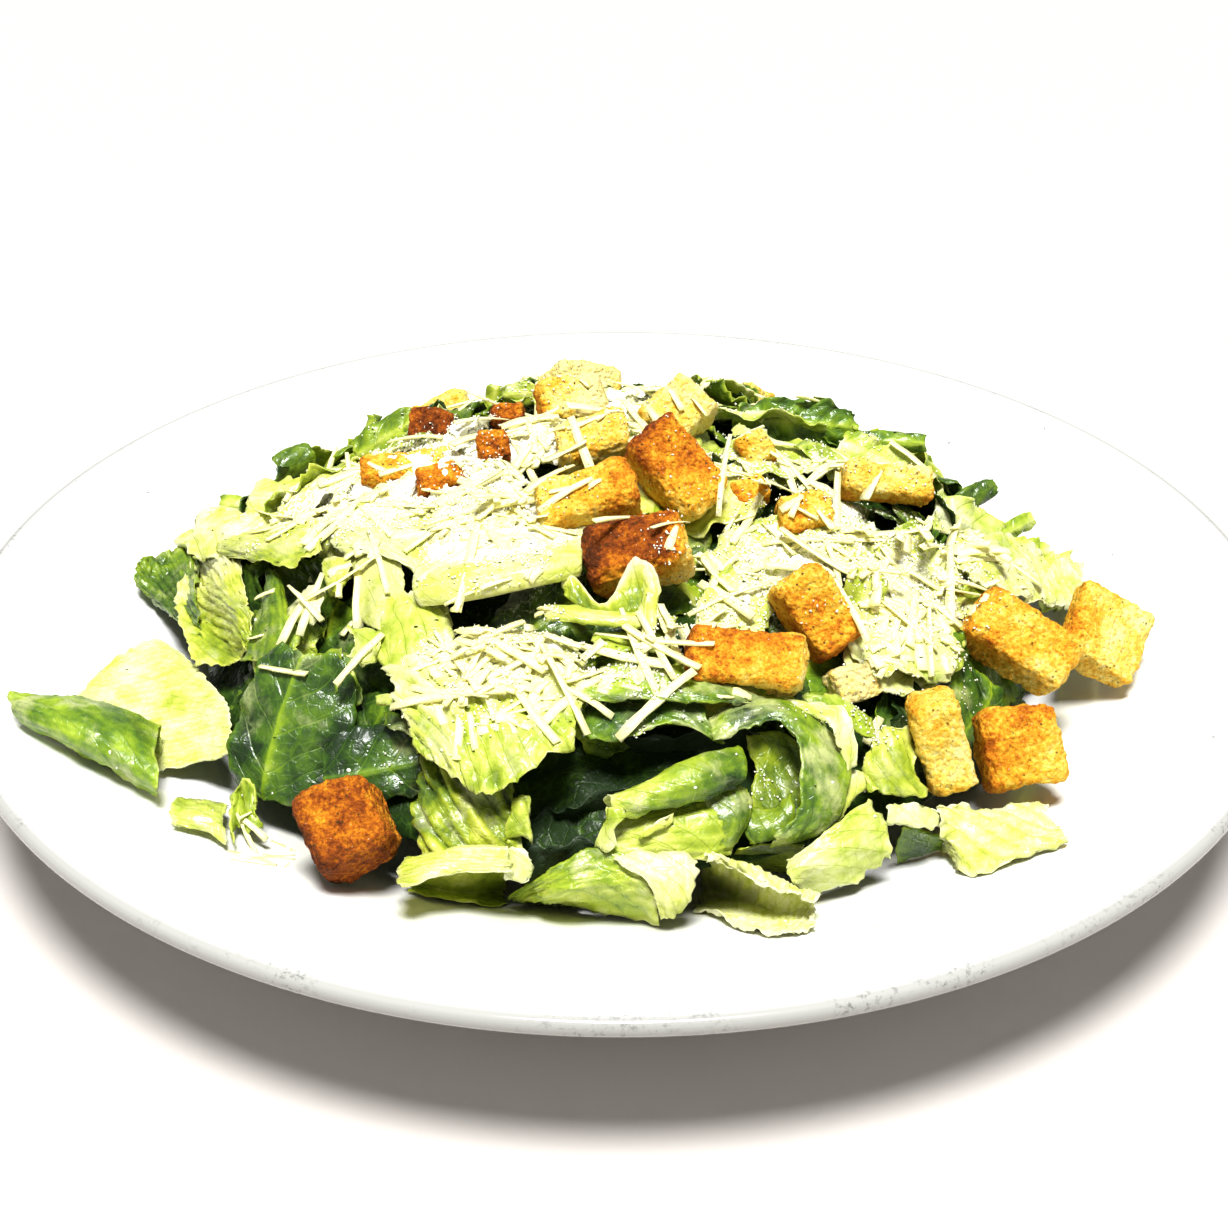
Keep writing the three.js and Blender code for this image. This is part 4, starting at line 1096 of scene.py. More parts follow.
def far_leaves():
    """Rings of pieces round the far side, facing outwards with drawn differences."""
    draw = make_draw(SEED)
    sweep = FAR_LAST_AZIMUTH - FAR_FIRST_AZIMUTH
    leaves = []
    for radius, count, elevation in FAR_RINGS:
        for i in range(count):
            azimuth = FAR_FIRST_AZIMUTH + sweep * (i + 0.5) / count + draw(-5, 5)
            place = (*round_spots(radius + draw(-4, 3), math.radians(azimuth)), draw(0, 2))
            facing = (azimuth + draw(-25, 25), elevation + draw(-12, 12), draw(0, 180))
            size = (draw(27, 38), draw(19, 26))
            shape = (draw(0, 25), draw(-25, 60))
            frill = (draw(0.9, 1.6), draw(2, 3.5))
            look = (DRAW.uniform(0.2, 0.95), DRAW.uniform(0.5, 1.3), DRAW.choice([0, 0.5, NO_RIB]))
            leaves.append((f"far_{radius}_{i}", place, facing, size, shape, frill, look))
    return leaves


def filler_leaves(kind, count, radii, azimuths, lifts, tones):
    """Drawn pieces over a ring sector, spread by the golden angle and facing outwards
    by as much as the mound slopes there."""
    leaves = []
    for i in range(count):
        share = (i * GOLDEN_SHARE + 0.31) % 1
        azimuth = azimuths[0] + (azimuths[1] - azimuths[0]) * share
        radius = math.sqrt(DRAW.uniform(radii[0] ** 2, radii[1] ** 2))
        slope = 80 - 62 * (radius / MOUND_RADIUS) ** 1.6
        place = (*round_spots(radius, math.radians(azimuth)), DRAW.uniform(*lifts))
        turned = azimuth + DRAW.uniform(-30, 30)
        facing = (turned, slope + DRAW.uniform(-14, 10), DRAW.uniform(0, 180))
        size = (DRAW.uniform(20, 34), DRAW.uniform(13, 24))
        shape = (DRAW.uniform(0, 25), DRAW.uniform(-30, 70))
        frill = (DRAW.uniform(0.7, 1.5), DRAW.uniform(1.5, 3.5))
        ribs = [0, 0.4, -0.6, NO_RIB]
        look = (DRAW.uniform(*tones), DRAW.uniform(0.5, 1.3), DRAW.choice(ribs))
        leaves.append((f"{kind}_{i}", place, facing, size, shape, frill, look))
    return leaves


def core_part():
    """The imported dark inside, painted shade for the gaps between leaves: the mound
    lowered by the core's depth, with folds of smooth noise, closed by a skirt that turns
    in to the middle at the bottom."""
    around, rings, skirt = 160, 60, 8
    ring = np.arange(1, rings + 1)
    sink = np.clip((ring - rings + skirt) / skirt, 0, 1)
    radius = CORE_RADIUS * np.minimum(ring / (rings - skirt), 1) * (1 - 0.35 * sink**2)
    points = ring_points(radius, sink, around)
    x, y, sink = points.T
    folds = 1.8 * value_noise(on_plane(x, y, 5.0), 9.0, 31) + value_noise(on_plane(x, y), 4.0, 32)
    low = plate_top(np.hypot(x, y)) + CLEARANCE
    points[:, 2] = np.maximum((mound(x, y) - CORE_DEPTH + folds) * (1 - sink) + low * sink, low)
    poles = [[0, 0, mound(0, 0) - CORE_DEPTH], [0, 0, plate_top(0) + CLEARANCE]]
    points = np.concatenate([points, poles])
    none = np.zeros(len(points))
    values = dict.fromkeys(("tone", "relief", "slant", "off", "margin", "film", "hue"), none)
    # The core takes its dark tone of painted shade.
    values["tone"] = none + CORE_SHADE_TONE
    values["slant"] = none + 0.5
    values["off"] = none + FAR_RIB
    values["dust"] = 0.3 * dust_share(points, none + 1)
    return points, ring_faces(rings, around), values, points[:, :2] / MAP_UNIT


# ---- croutons ------------------------------------------------------------------------


def cube_skin(counts):
    """Whole-number points on the skin of a block, counts cells a side, and its quads,
    each face turned outwards. Shared edges are merged by their whole numbers."""
    corners = []
    for axis in range(3):
        b, c = (axis + 1) % 3, (axis + 2) % 3
        i, j = np.meshgrid(np.arange(counts[b]), np.arange(counts[c]), indexing="ij")
        for level in (0, counts[axis]):
            ring = [(0, 0), (1, 0), (1, 1), (0, 1)] if level else [(0, 0), (0, 1), (1, 1), (1, 0)]
            quad = np.zeros(i.shape + (4, 3), int)
            quad[..., axis] = level
            for k, (di, dj) in enumerate(ring):
                quad[..., k, b] = i + di
                quad[..., k, c] = j + dj
            corners.append(quad.reshape(-1, 3))
    points, index = np.unique(np.concatenate(corners), axis=0, return_inverse=True)
    return points, index.reshape(-1, 4)


def packed_block(node):
    """A packed crouton in millimetres: its middle, the outward normals and offsets of
    its flat faces, and its three long directions with the half size along each."""
    mesh = frame["nodes"][node].data
    places = np.zeros(len(mesh.vertices) * 3, np.float32)
    mesh.vertices.foreach_get("co", places)
    places = places.reshape(-1, 3).astype(float) / MM
    corner = np.zeros(len(mesh.loops), np.int32)
    mesh.loops.foreach_get("vertex_index", corner)
    triangles = places[corner.reshape(-1, 3)]
    first = triangles[:, 0]
    normal = np.cross(triangles[:, 1] - first, triangles[:, 2] - first)
    keep = np.linalg.norm(normal, axis=1) > SMALLEST_FACET
    normal = unit(normal[keep])
    corners = np.unique(places.round(3), axis=0)
    middle = corners.mean(0)
    offset = ((first[keep] - middle) * normal).sum(1)
    axes = np.linalg.eigh(np.cov((corners - middle).T))[1].T[::-1]
    half = np.abs((corners - middle) @ axes.T).max(0)
    return middle, normal, offset, axes, half


def crouton_part(node):
    """A toasted bread cube. Along each direction from the middle its reach is a soft
    minimum, (sum of (1/reach to each flat face)^p)^(-1/p), so edges are worn round; the
    crumb is pushed in by pits near strewn points and roughened by smooth noise."""
    toast, darker, more = TOAST[node.replace("crouton_", "")]
    middle, normal, offset, axes, half = packed_block(node)
    seed = sum(ord(letter) * (i + 1) for i, letter in enumerate(node)) % 997
    counts = np.maximum(10, np.round(2 * half / CRUMB_STEP)).astype(int)
    lattice, quads = cube_skin(counts)
    if np.linalg.det(axes) < 0:
        quads = quads[:, ::-1]
    direction = unit(((2 * lattice / counts - 1) * half) @ axes)
    share = np.maximum(direction @ normal.T, 0) / offset
    total = (share**EDGE_POWER).sum(1)
    blend = share**EDGE_POWER / total[:, None] @ normal
    outward = unit(blend)
    edge = np.clip(1.25 - np.linalg.norm(blend, axis=1) ** 3 * 1.25, 0, 1)
    points = middle + direction * (total ** (-1 / EDGE_POWER))[:, None]

    def noise(size, step):
        return value_noise(points, size, seed + step)

    large, small = seed_distances(points, 2.6, seed)[0], seed_distances(points, 1.3, seed + 11)[0]
    pits = 0.75 * np.clip(1 - large, 0, 1) ** 1.5 * (0.5 + 0.5 * noise(5.0, 3))
    pits += 0.42 * np.clip(1 - small / 0.75, 0, 1)
    rough = 0.75 * noise(8.0, 1) + 0.25 * noise(2.6, 7) + 0.26 * noise(1.3, 2) + 0.24 * noise(0.8, 4)
    points = points + outward * (rough - pits + 0.05)[:, None]
    lean = unit(np.array(darker, float))
    along = (points - middle) @ lean
    side = 0.6 * outward @ lean + 0.6 * along / np.abs(along).max()
    pits = np.clip(pits, 0, 1)
    bake = toast + more * side + 0.14 * noise(6.0, 5) + 0.09 * noise(2.0, 6)
    bake += 0.26 * edge * (0.5 + 0.5 * noise(5.0, 8)) - 0.12 * pits
    dust = 0.2 * dust_share(points, outward[:, 2] - 0.35)
    return points, quads, {"bake": np.clip(bake, 0, 1), "pit": pits, "dust": dust}


# ---- what is strewn over -----------------------------------------------------------------


class HeightMap:
    """The highest point of everything laid so far, on a square grid seen from above."""

    def __init__(self, reach, step):
        self.reach, self.step = reach, step
        self.count = int(2 * reach / step) + 1
        line = np.linspace(-reach, reach, self.count)
        x, y = np.meshgrid(line, line, indexing="ij")
        self.height = plate_top(np.hypot(x, y))
        self.bread = np.zeros_like(self.height, dtype=bool)

    def cell(self, x, y):
        """Row and column of the cell nearest to each place."""
        i = np.clip(np.round((x + self.reach) / self.step).astype(int), 0, self.count - 1)
        j = np.clip(np.round((y + self.reach) / self.step).astype(int), 0, self.count - 1)
        return i, j

    def lay(self, points):
        """Raises each cell to the highest of the points over it."""
        i, j = self.cell(points[:, 0], points[:, 1])
        np.maximum.at(self.height, (i, j), points[:, 2])

    def lay_bread(self, points):
        """Lays bread or bare rib, and marks the cells where it is on top."""
        before = self.height.copy()
        self.lay(points)
        self.bread |= self.height > before + 0.3

    def close_gaps(self):
        """Fills single low cells: each is raised to the median of itself and its
        neighbours."""
        shifted = [np.roll(self.height, (a, b), (0, 1)) for a in (-1, 0, 1) for b in (-1, 0, 1)]
        self.height = np.maximum(self.height, np.median(shifted, axis=0))

    def at(self, x, y):
        """The highest point laid so far at each place."""
        return self.height[self.cell(x, y)]


def patch_places(patches):
    """Places drawn in round patches, closer together towards each one's middle."""
    places = []
    for x, y, radius, count in patches:
        turn = DRAW.uniform(0, 2 * np.pi, count)
        away = radius * DRAW.uniform(0, 1, count) ** 0.6
        places.append([x, y] + round_spots(away, turn))
    return DRAW.permutation(np.concatenate(places))


def resting_curve(heights, stops, length):
    """The parabola a limp stick takes on a bumpy profile: fitted to the heights by
    least squares, held to a small bend, then lifted till it sinks in nowhere by more
    than half a millimetre. Gives its bend, slope and level."""
    bend, slope, _ = np.polyfit(stops, heights, 2)
    bend = float(np.clip(bend, -0.05 * length, 0.025 * length))
    slope = float(np.clip(slope, -0.25 * length, 0.25 * length))
    level = float((heights - bend * stops**2 - slope * stops).max()) - 0.5
    return bend, slope, level


def strew_shreds(height_map, places, lengths):
    """Rests shreds on the map one after another, few of them on bread, and raises the
    map where each lies. Gives middle, direction, bend, width and thickness."""
    stops = np.linspace(-1, 1, 9)
    laid = []
    for (x, y), length in zip(places, lengths):
        reach = round_spots(length / 2, DRAW.uniform(0, np.pi))
        xs, ys = x + stops * reach[0], y + stops * reach[1]
        on_bread = height_map.bread[height_map.cell(xs, ys)].mean()
        if on_bread > 0.25 and DRAW.uniform() < 0.8:
            continue
        bend, slope, level = resting_curve(height_map.at(xs, ys), stops, length)
        if level > height_map.at(x, y) + 0.16 * length:
            continue
        shrink = length / math.hypot(length, 2 * slope)
        width = SHRED_WIDTH * DRAW.uniform(0.65, 1.35)
        thickness = SHRED_THICKNESS * DRAW.uniform(0.7, 1.3)
        along = np.array([reach[0], reach[1], slope]) * shrink
        laid.append((x, y, level + thickness / 2, *along, bend * shrink**2, width, thickness))
        fine = np.linspace(-1, 1, max(5, int(length / 0.5)))
        line = np.stack([x + fine * along[0], y + fine * along[1]], -1)
        tops = level + fine * slope * shrink + bend * (fine * shrink) ** 2 + thickness * 0.8
        height_map.lay(np.column_stack([line, tops]))
    return np.array(laid)


def shred_part(laid):
    """Square-cut strips: along each one a section of four corners is carried on a
    slightly bowed line, drawn in towards one end, with seeded uneven corners."""
    count = len(laid)
    stops = np.linspace(-1, 1, 7)
    middle, along, bend, width, thickness = np.split(laid[:, None, None], [3, 6, 7, 8], -1)
    length = np.linalg.norm(along, axis=-1, keepdims=True)
    ahead = along / length
    across = unit(np.cross([0.0, 0.0, 1.0], ahead))
    tilt = DRAW.uniform(-0.5, 0.5, (count, 1, 1, 1))
    up = np.cross(ahead, across)
    wide = across * np.cos(tilt) + up * np.sin(tilt)
    tall = up * np.cos(tilt) - across * np.sin(tilt)
    t = stops[None, :, None, None]
    bow = DRAW.uniform(-0.03, 0.03, (count, 1, 1, 1)) * length * (1 - t * t)
    narrow = 1 - DRAW.uniform(0, 0.6, (count, 1, 1, 1)) * (0.5 + 0.5 * t) ** 2
    size = narrow * (1 + DRAW.uniform(-0.2, 0.2, (count, len(stops), 4, 1)))
    corner = np.array([(1, 1), (-1, 1), (-1, -1), (1, -1)]) / 2
    points = middle + along * t + wide * bow + bend * t * t * np.array([0.0, 0.0, 1.0])
    points = points + wide * (corner[:, :1] * width * size) + tall * (corner[:, 1:] * thickness * size)
    start = np.arange(len(stops) - 1)[:, None] * 4
    ring, turned = start + np.arange(4), start + (np.arange(4) + 1) % 4
    walls = np.stack([turned, turned + 4, ring + 4, ring], -1).reshape(-1, 4)
    last = len(stops) * 4 - 1
    quads = np.concatenate([walls, [[3, 2, 1, 0], [last - 3, last - 2, last - 1, last]]])
    return points.reshape(-1, 3), repeated(quads, count, last + 1)


def blurred(height, passes):
    """A height map averaged with its four neighbours, passes times."""
    for _ in range(passes):
        sides = [np.roll(height, step, axis) for axis in (0, 1) for step in (-1, 1)]
        height = (2 * height + sum(sides)) / 6
    return height


def without_gaps(cells):
    """Of the four cells round a corner, where only the two on one slant are set, sets
    the other two as well, in several rounds, as one filling can call for another."""
    cells = cells.copy()
    for _ in range(FILLING_ROUNDS):
        low, high = cells[:-1, :-1], cells[1:, 1:]
        filling = cells[1:, :-1] & cells[:-1, 1:] & ~low & ~high
        low |= filling
        high |= filling
    return cells


def drift_part(height_map):
    """Drifted powder: over each square cell where the drift is deep enough there is a
    bit of lumpy sheet, lying on the smoothed map, shut below and along its borders.
    Its depth is the crowding, less a threshold, plus noise of several sizes; less lies
    on ledges that are steep, and on bread."""
    count = int(2 * DRIFT_REACH / DRIFT_STEP)
    line = np.linspace(-DRIFT_REACH, DRIFT_REACH, count + 1)
    x, y = np.meshgrid(line, line, indexing="ij")
    map_line = np.linspace(-height_map.reach, height_map.reach, height_map.count)
    soft = blurred(height_map.height, 10)
    steep = blurred(np.hypot(*np.gradient(soft, height_map.step)), 4)

    def on_lines(values):
        across = np.array([np.interp(line, map_line, row) for row in values])
        return np.array([np.interp(line, map_line, column) for column in across.T]).T

    def noise(size, seed):
        return value_noise(on_plane(x, y), size, seed)

    base, slope = on_lines(soft), on_lines(steep)
    bread = on_lines(blurred(height_map.bread.astype(float), 2))
    depth = 2.1 * crowding(x, y, DRIFTS) - 1.2 - 0.7 * np.clip(slope - 0.8, 0, 2) - 0.75 * bread
    depth += 0.62 * noise(6.0, 401) + 0.42 * noise(2.4, 402) + 0.3 * noise(1.2, 403)
    lumps = 0.32 * noise(1.9, 404) + 0.34 * noise(1.0, 405)
    top = base + DRIFT_DEPTH * np.clip(depth, -0.2, 0.9) + lumps
    low = base - DRIFT_SINK
    cells = (depth[:-1, :-1] + depth[1:, 1:] + depth[1:, :-1] + depth[:-1, 1:]) > 0
    cells[[0, -1]] = False
    cells[:, [0, -1]] = False
    cells = without_gaps(cells)
    i, j = np.nonzero(cells)
    total = (count + 1) ** 2
    quads = grid_quads(count, count)[cells.ravel()]
    parts = [quads, quads[:, ::-1] + total]
    neighbours = ((-1, 0, 0, 3), (1, 0, 2, 1), (0, -1, 1, 0), (0, 1, 3, 2))
    for di, dj, first, second in neighbours:
        open_side = ~cells[i + di, j + dj]
        a, b = quads[open_side, second], quads[open_side, first]
        parts.append(np.stack([a, b, b + total, a + total], -1))
    points = np.concatenate([np.stack([x, y, z], -1).reshape(-1, 3) for z in (top, low)])
    used, faces = np.unique(np.concatenate(parts), return_inverse=True)
    return points[used], faces.reshape(-1, 4)


def powder_spots(patches, heap):
    """Places for powder in little heaps: each drawn place gets up to heap grains
    around it, closer together in its middle."""
    centres = patch_places(patches)
    counts = DRAW.integers(3, heap, len(centres))
    spread = np.repeat(0.7 + counts / heap * 1.5, counts)
    centres = np.repeat(centres, counts, axis=0)
    spots = centres + DRAW.normal(0, 1, centres.shape) * spread[:, None]
    return DRAW.permutation(spots)


GRAIN_CORNERS = np.kron(np.eye(3), [[1.0], [-1.0]])
GRAIN_FACES = np.array([
    (0, 2, 4), (2, 1, 4), (1, 3, 4), (3, 0, 4), (2, 0, 5), (1, 2, 5), (3, 1, 5), (0, 3, 5),
])


def grain_part(middles, sizes):
    """Small uneven eight-sided grains: each corner of an octahedron is stretched by a
    draw and the grain is turned by a drawn angle about +Z."""
    count = len(middles)
    corners = GRAIN_CORNERS * DRAW.uniform(0.6, 1.3, (count, 6, 1))
    corners = corners + DRAW.uniform(-0.25, 0.25, (count, 6, 3))
    turn = DRAW.uniform(0, 2 * np.pi, count)
    cos, sin = np.cos(turn)[:, None], np.sin(turn)[:, None]
    x = corners[..., 0] * cos - corners[..., 1] * sin
    y = corners[..., 0] * sin + corners[..., 1] * cos
    turned = np.stack([x, y, corners[..., 2]], -1)
    points = middles[:, None, :] + turned * sizes[:, None, :] / 2
    return points.reshape(-1, 3), repeated(GRAIN_FACES, count, len(GRAIN_CORNERS))


def drop_part(middles, normals, sizes):
    """Flattened drops: a ball's rings drawn out along each normal by DROP_HEIGHT of
    their width, and stretched to one side by a draw."""
    rings, around = 5, 10
    polar = np.linspace(0, np.pi, rings + 2)[1:-1]
    ball = ring_points(np.sin(polar), np.cos(polar), around)
    ball = np.concatenate([ball, [[0, 0, 1], [0, 0, -1]]])
    count = len(middles)
    helper = np.where(np.abs(normals[:, 2:3]) < 0.9, [[0, 0, 1.0]], [[1.0, 0, 0]])
    across = unit(np.cross(normals, helper))
    along = np.cross(normals, across)
    stretch = DRAW.uniform(0.7, 1.5, (count, 1, 1))
    points = middles[:, None, :] + sizes[:, None, None] / 2 * (
        ball[:, :1] * across[:, None, :] * stretch
        + ball[:, 1:2] * along[:, None, :]
        + DROP_HEIGHT * ball[:, 2:] * normals[:, None, :]
    )
    return points.reshape(-1, 3), repeated(ring_faces(rings, around), count, len(ball))


# ---- plate -------------------------------------------------------------------------------


def rounded_outline(corners, reach):
    """Each inner corner of an open line becomes a quadratic curve that starts and ends
    at most reach from it, and at most 45% of the way to its neighbours."""
    corners = np.array(corners, float)
    share = np.linspace(0, 1, 6)[:, None]
    points = [corners[:1]]
    for before, corner, after in zip(corners[:-2], corners[1:-1], corners[2:]):
        start = corner + (before - corner) * min(0.45, reach / np.linalg.norm(before - corner))
        end = corner + (after - corner) * min(0.45, reach / np.linalg.norm(after - corner))
        points.append(start * (1 - share) ** 2 + corner * 2 * share * (1 - share) + end * share**2)
    points.append(corners[-1:])
    return np.concatenate(points)


def plate_part():
    """The plate turned about +Z: a foot ring, a wide sloping rim with a rounded edge,
    and a well. Both ends of the outline lie on the axis."""
    edge_low = PLATE_HEIGHT - 4.0
    foot_inner = FOOT_RADIUS - FOOT_WIDTH
    outline = [
        (0, 1.5), (foot_inner - 1, 1.5), (foot_inner, 0), (FOOT_RADIUS, 0),
        (FOOT_RADIUS + 1.5, 2), (WELL_EDGE_RADIUS - 4, 9), (PLATE_RADIUS - 3, edge_low - 0.6),
        (PLATE_RADIUS, edge_low + 0.4), (PLATE_RADIUS, PLATE_HEIGHT - 0.4),
        (PLATE_RADIUS - 3, PLATE_HEIGHT), (WELL_EDGE_RADIUS + 1, plate_top(WELL_EDGE_RADIUS + 1)),
        (80, plate_top(80)), (60, plate_top(60)), (0, WELL_FLOOR_HEIGHT),
    ]
    line = rounded_outline(outline, 4.0)
    radius, z = line[1:-1].T
    poles = [[0, 0, line[0, 1]], [0, 0, line[-1, 1]]]
    points = np.concatenate([ring_points(radius, z, PLATE_SIDES), poles])
    return points, ring_faces(len(radius), PLATE_SIDES)[:, ::-1]


# ---- materials ---------------------------------------------------------------------------


class Paint:
    """A node material: constants go on the shader's own sockets, and patterns are built
    from small calls that each add one node and give its result."""

    def __init__(self, name, **sockets):
        self.material = bpy.data.materials.new(name)
        self.material.use_nodes = True
        self.tree = self.material.node_tree
        self.shader = self.tree.nodes["Principled BSDF"]
        for key, value in sockets.items():
            self.shader.inputs[key.replace("_", " ")].default_value = value

    def node(self, kind, links=(), **settings):
        """A node of a kind: links gives each of its sockets a source or a value."""
        made = self.tree.nodes.new(kind)
        for key, value in settings.items():
            setattr(made, key, value)
        for socket, source in dict(links).items():
            if isinstance(source, bpy.types.NodeSocket):
                self.tree.links.new(source, made.inputs[socket])
            else:
                made.inputs[socket].default_value = source
        return made

    def place(self):
        """Where a point is on the object, in metres."""
        return self.node("ShaderNodeTexCoord").outputs["Object"]

    def sheet(self):
        """Where a point is on its own leaf, in units of MAP_UNIT."""
        return self.node("ShaderNodeTexCoord").outputs["UV"]

    def value(self, name):
        """A number a point that the mesh carries."""
        return self.node("ShaderNodeAttribute", attribute_name=name).outputs["Fac"]

    def noise(self, vector, scale, detail=3.0, roughness=0.55):
        links = {"Vector": vector, "Scale": scale, "Detail": detail, "Roughness": roughness}
        return self.node("ShaderNodeTexNoise", links).outputs["Fac"]

    def cells(self, vector, scale, feature="F1", output="Distance"):
        links = {"Vector": vector, "Scale": scale}
        return self.node("ShaderNodeTexVoronoi", links, feature=feature).outputs[output]

    def math(self, operation, a, b=0.0, clamp=False):
        links = {0: a, 1: b}
        return self.node("ShaderNodeMath", links, operation=operation, use_clamp=clamp).outputs[0]

    def add(self, a, b):
        return self.math("ADD", a, b)

    def less(self, a, b):
        return self.math("SUBTRACT", a, b)

    def times(self, a, b):
        return self.math("MULTIPLY", a, b)

    def span(self, value, low, high, to_low=0.0, to_high=1.0):
        """A value's stretch from low to high laid on the one from to_low to to_high."""
        links = {"Value": value, "From Min": low, "From Max": high, "To Min": to_low, "To Max": to_high}
        return self.node("ShaderNodeMapRange", links).outputs["Result"]

    def ramp(self, value, stops):
        """Colours along a value, blended between (place, colour) stops."""
        made = self.node("ShaderNodeValToRGB", {"Fac": value})
        elements = made.color_ramp.elements
        while len(elements) < len(stops):
            elements.new(0.5)
        for element, (at, colour) in zip(elements, stops):
            element.position = at
            element.color = (*colour, 1)
        return made.outputs["Color"]

    def mix(self, share, a, b):
        """Colour a with a share of colour b."""
        a, b = (c if isinstance(c, bpy.types.NodeSocket) else (*c, 1) for c in (a, b))
        return self.node("ShaderNodeMix", {0: share, 6: a, 7: b}, data_type="RGBA").outputs[2]

    def bump(self, height, distance, strength):
        """Tilts the surface as if it stood out by height times distance, in metres."""
        links = {"Height": height, "Distance": distance, "Strength": strength}
        self.set("Normal", self.node("ShaderNodeBump", links).outputs["Normal"])

    def dusting(self, place):
        """Share of cheese powder that lies on a face: fine flakes that crowd where the
        dust value is high."""
        flakes = self.noise(place, 1300.0, 2.0, 0.65)
        crowd = self.times(self.value("dust"), 0.62)
        return self.span(self.add(flakes, crowd), 0.76, 0.86)

    def set(self, socket, source):
        """Leads a pattern into one of the shader's sockets."""
        self.tree.links.new(source, self.shader.inputs[socket])


LEAF_COLOURS = [
    (0.00, (0.74, 0.75, 0.44)),
    (0.14, (0.66, 0.69, 0.25)),
    (0.28, (0.53, 0.59, 0.105)),
    (0.42, (0.375, 0.46, 0.038)),
    (0.56, (0.235, 0.33, 0.018)),
    (0.72, (0.110, 0.19, 0.016)),
    (0.86, (0.048, 0.098, 0.014)),
    (1.00, (0.015, 0.035, 0.007)),
]
TOAST_COLOURS = [
    (0.00, (0.96, 0.82, 0.36)),
    (0.20, (0.94, 0.68, 0.13)),
    (0.40, (0.87, 0.46, 0.030)),
    (0.58, (0.66, 0.22, 0.010)),
    (0.78, (0.34, 0.080, 0.007)),
    (1.00, (0.10, 0.025, 0.005)),
]
HERB_COLOUR = (0.06, 0.07, 0.02)
SPECK_COLOUR = (0.06, 0.05, 0.012)
SALT_COLOUR = (0.80, 0.62, 0.36)
FILM_COLOUR = (0.68, 0.67, 0.36)
DRESSING_COLOUR = (0.86, 0.86, 0.72)
DUST_COLOUR = (0.97, 0.965, 0.84)
POWDER_COLOUR = (0.985, 0.975, 0.85)
CHEESE_COLOUR = (0.99, 0.96, 0.50)
CHEESE_SHADE = (0.97, 0.93, 0.80)
GLAZE_COLOUR = (0.90, 0.90, 0.885)
GLAZE_WET = (0.86, 0.84, 0.60)
# Grey of the painted shade on the plate's outer edge.
GLAZE_EDGE_SHADE = (0.40, 0.40, 0.37)
GLAZE_SCUFF = (0.16, 0.16, 0.15)
FLOOR_COLOUR = (0.53, 0.505, 0.48)


def romaine_material(name, coat, gloss):
    """Leaf flesh. The tone runs from pale rib to dark blade; hollows between crinkles
    are darker and greener, a painted shade, and crests paler, a painted highlight; side
    veins and a fine net pull it to the middle; torn margins are pale; creamy dressing
    lies in patches and gathers in hollows."""
    paint = Paint(name, Coat_Weight=coat, Coat_Roughness=0.1, Specular_IOR_Level=gloss)
    sheet, place = paint.sheet(), paint.place()
    tone, relief, margin = paint.value("tone"), paint.value("relief"), paint.value("margin")
    slant, off, coated = paint.value("slant"), paint.value("off"), paint.value("film")

    nearest = paint.math("ABSOLUTE", paint.less(slant, paint.math("ROUND", slant)))
    reach = paint.span(off, 0.0, 14.0, 0.075, 0.03)
    side_vein = paint.math("SUBTRACT", 1.0, paint.math("DIVIDE", nearest, reach), clamp=True)
    mid_vein = paint.span(off, 0.25, 0.7, 0.7, 0.0)
    net = paint.span(paint.cells(sheet, 19.0, "DISTANCE_TO_EDGE"), 0.0, 0.09, 0.4, 0.0)
    lines = paint.math("MAXIMUM", paint.math("MAXIMUM", side_vein, mid_vein), net)

    fine = paint.noise(place, 900.0, 2.0)
    broad = paint.noise(place, 190.0, 2.0)
    tone = paint.add(tone, paint.span(broad, 0.3, 0.7, -0.11, 0.11))
    tone = paint.add(tone, paint.span(fine, 0.3, 0.7, -0.05, 0.05))
    # Painted shade in the hollows between crinkles and painted highlight on their crests.
    tone = paint.add(tone, paint.span(relief, -0.6, 0.8, 0.13, -0.13))
    to_middle = paint.less(0.46, tone)
    pull = paint.times(paint.times(to_middle, lines), 0.34)
    tone = paint.add(tone, pull)
    tone = paint.less(tone, paint.times(margin, 0.14))
    lean = paint.span(paint.value("hue"), -1.0, 1.0, 0.487, 0.513)
    links = {"Hue": lean, "Color": paint.ramp(tone, LEAF_COLOURS)}
    colour = paint.node("ShaderNodeHueSaturation", links).outputs["Color"]
    film = paint.less(paint.noise(place, 120.0, 4.0, 0.6), paint.times(relief, 0.09))
    film = paint.add(film, paint.span(coated, 0.0, 1.0, -0.08, 0.16))
    film = paint.span(film, 0.53, 0.68, 0.0, 0.55)
    film = paint.times(film, paint.span(tone, 0.6, 1.0, 1.0, 0.0))
    colour = paint.mix(film, colour, FILM_COLOUR)
    dust = paint.times(paint.dusting(place), paint.span(tone, 0.6, 0.9, 1.0, 0.2))
    paint.set("Base Color", paint.mix(dust, colour, DUST_COLOUR))
    matte = paint.add(paint.span(tone, 0.2, 0.9, 0.48, 0.28), paint.span(fine, 0.3, 0.7, -0.1, 0.1))
    matte = paint.add(matte, paint.span(tone, 0.95, 1.1, 0.0, 0.35))
    paint.set("Roughness", matte)
    height = paint.times(lines, -0.35)
    height = paint.add(height, paint.times(fine, 0.45))
    height = paint.add(height, paint.times(film, 0.8))
    height = paint.add(height, paint.times(dust, 0.7))
    paint.bump(height, 0.0007, 0.6)
    return paint.material


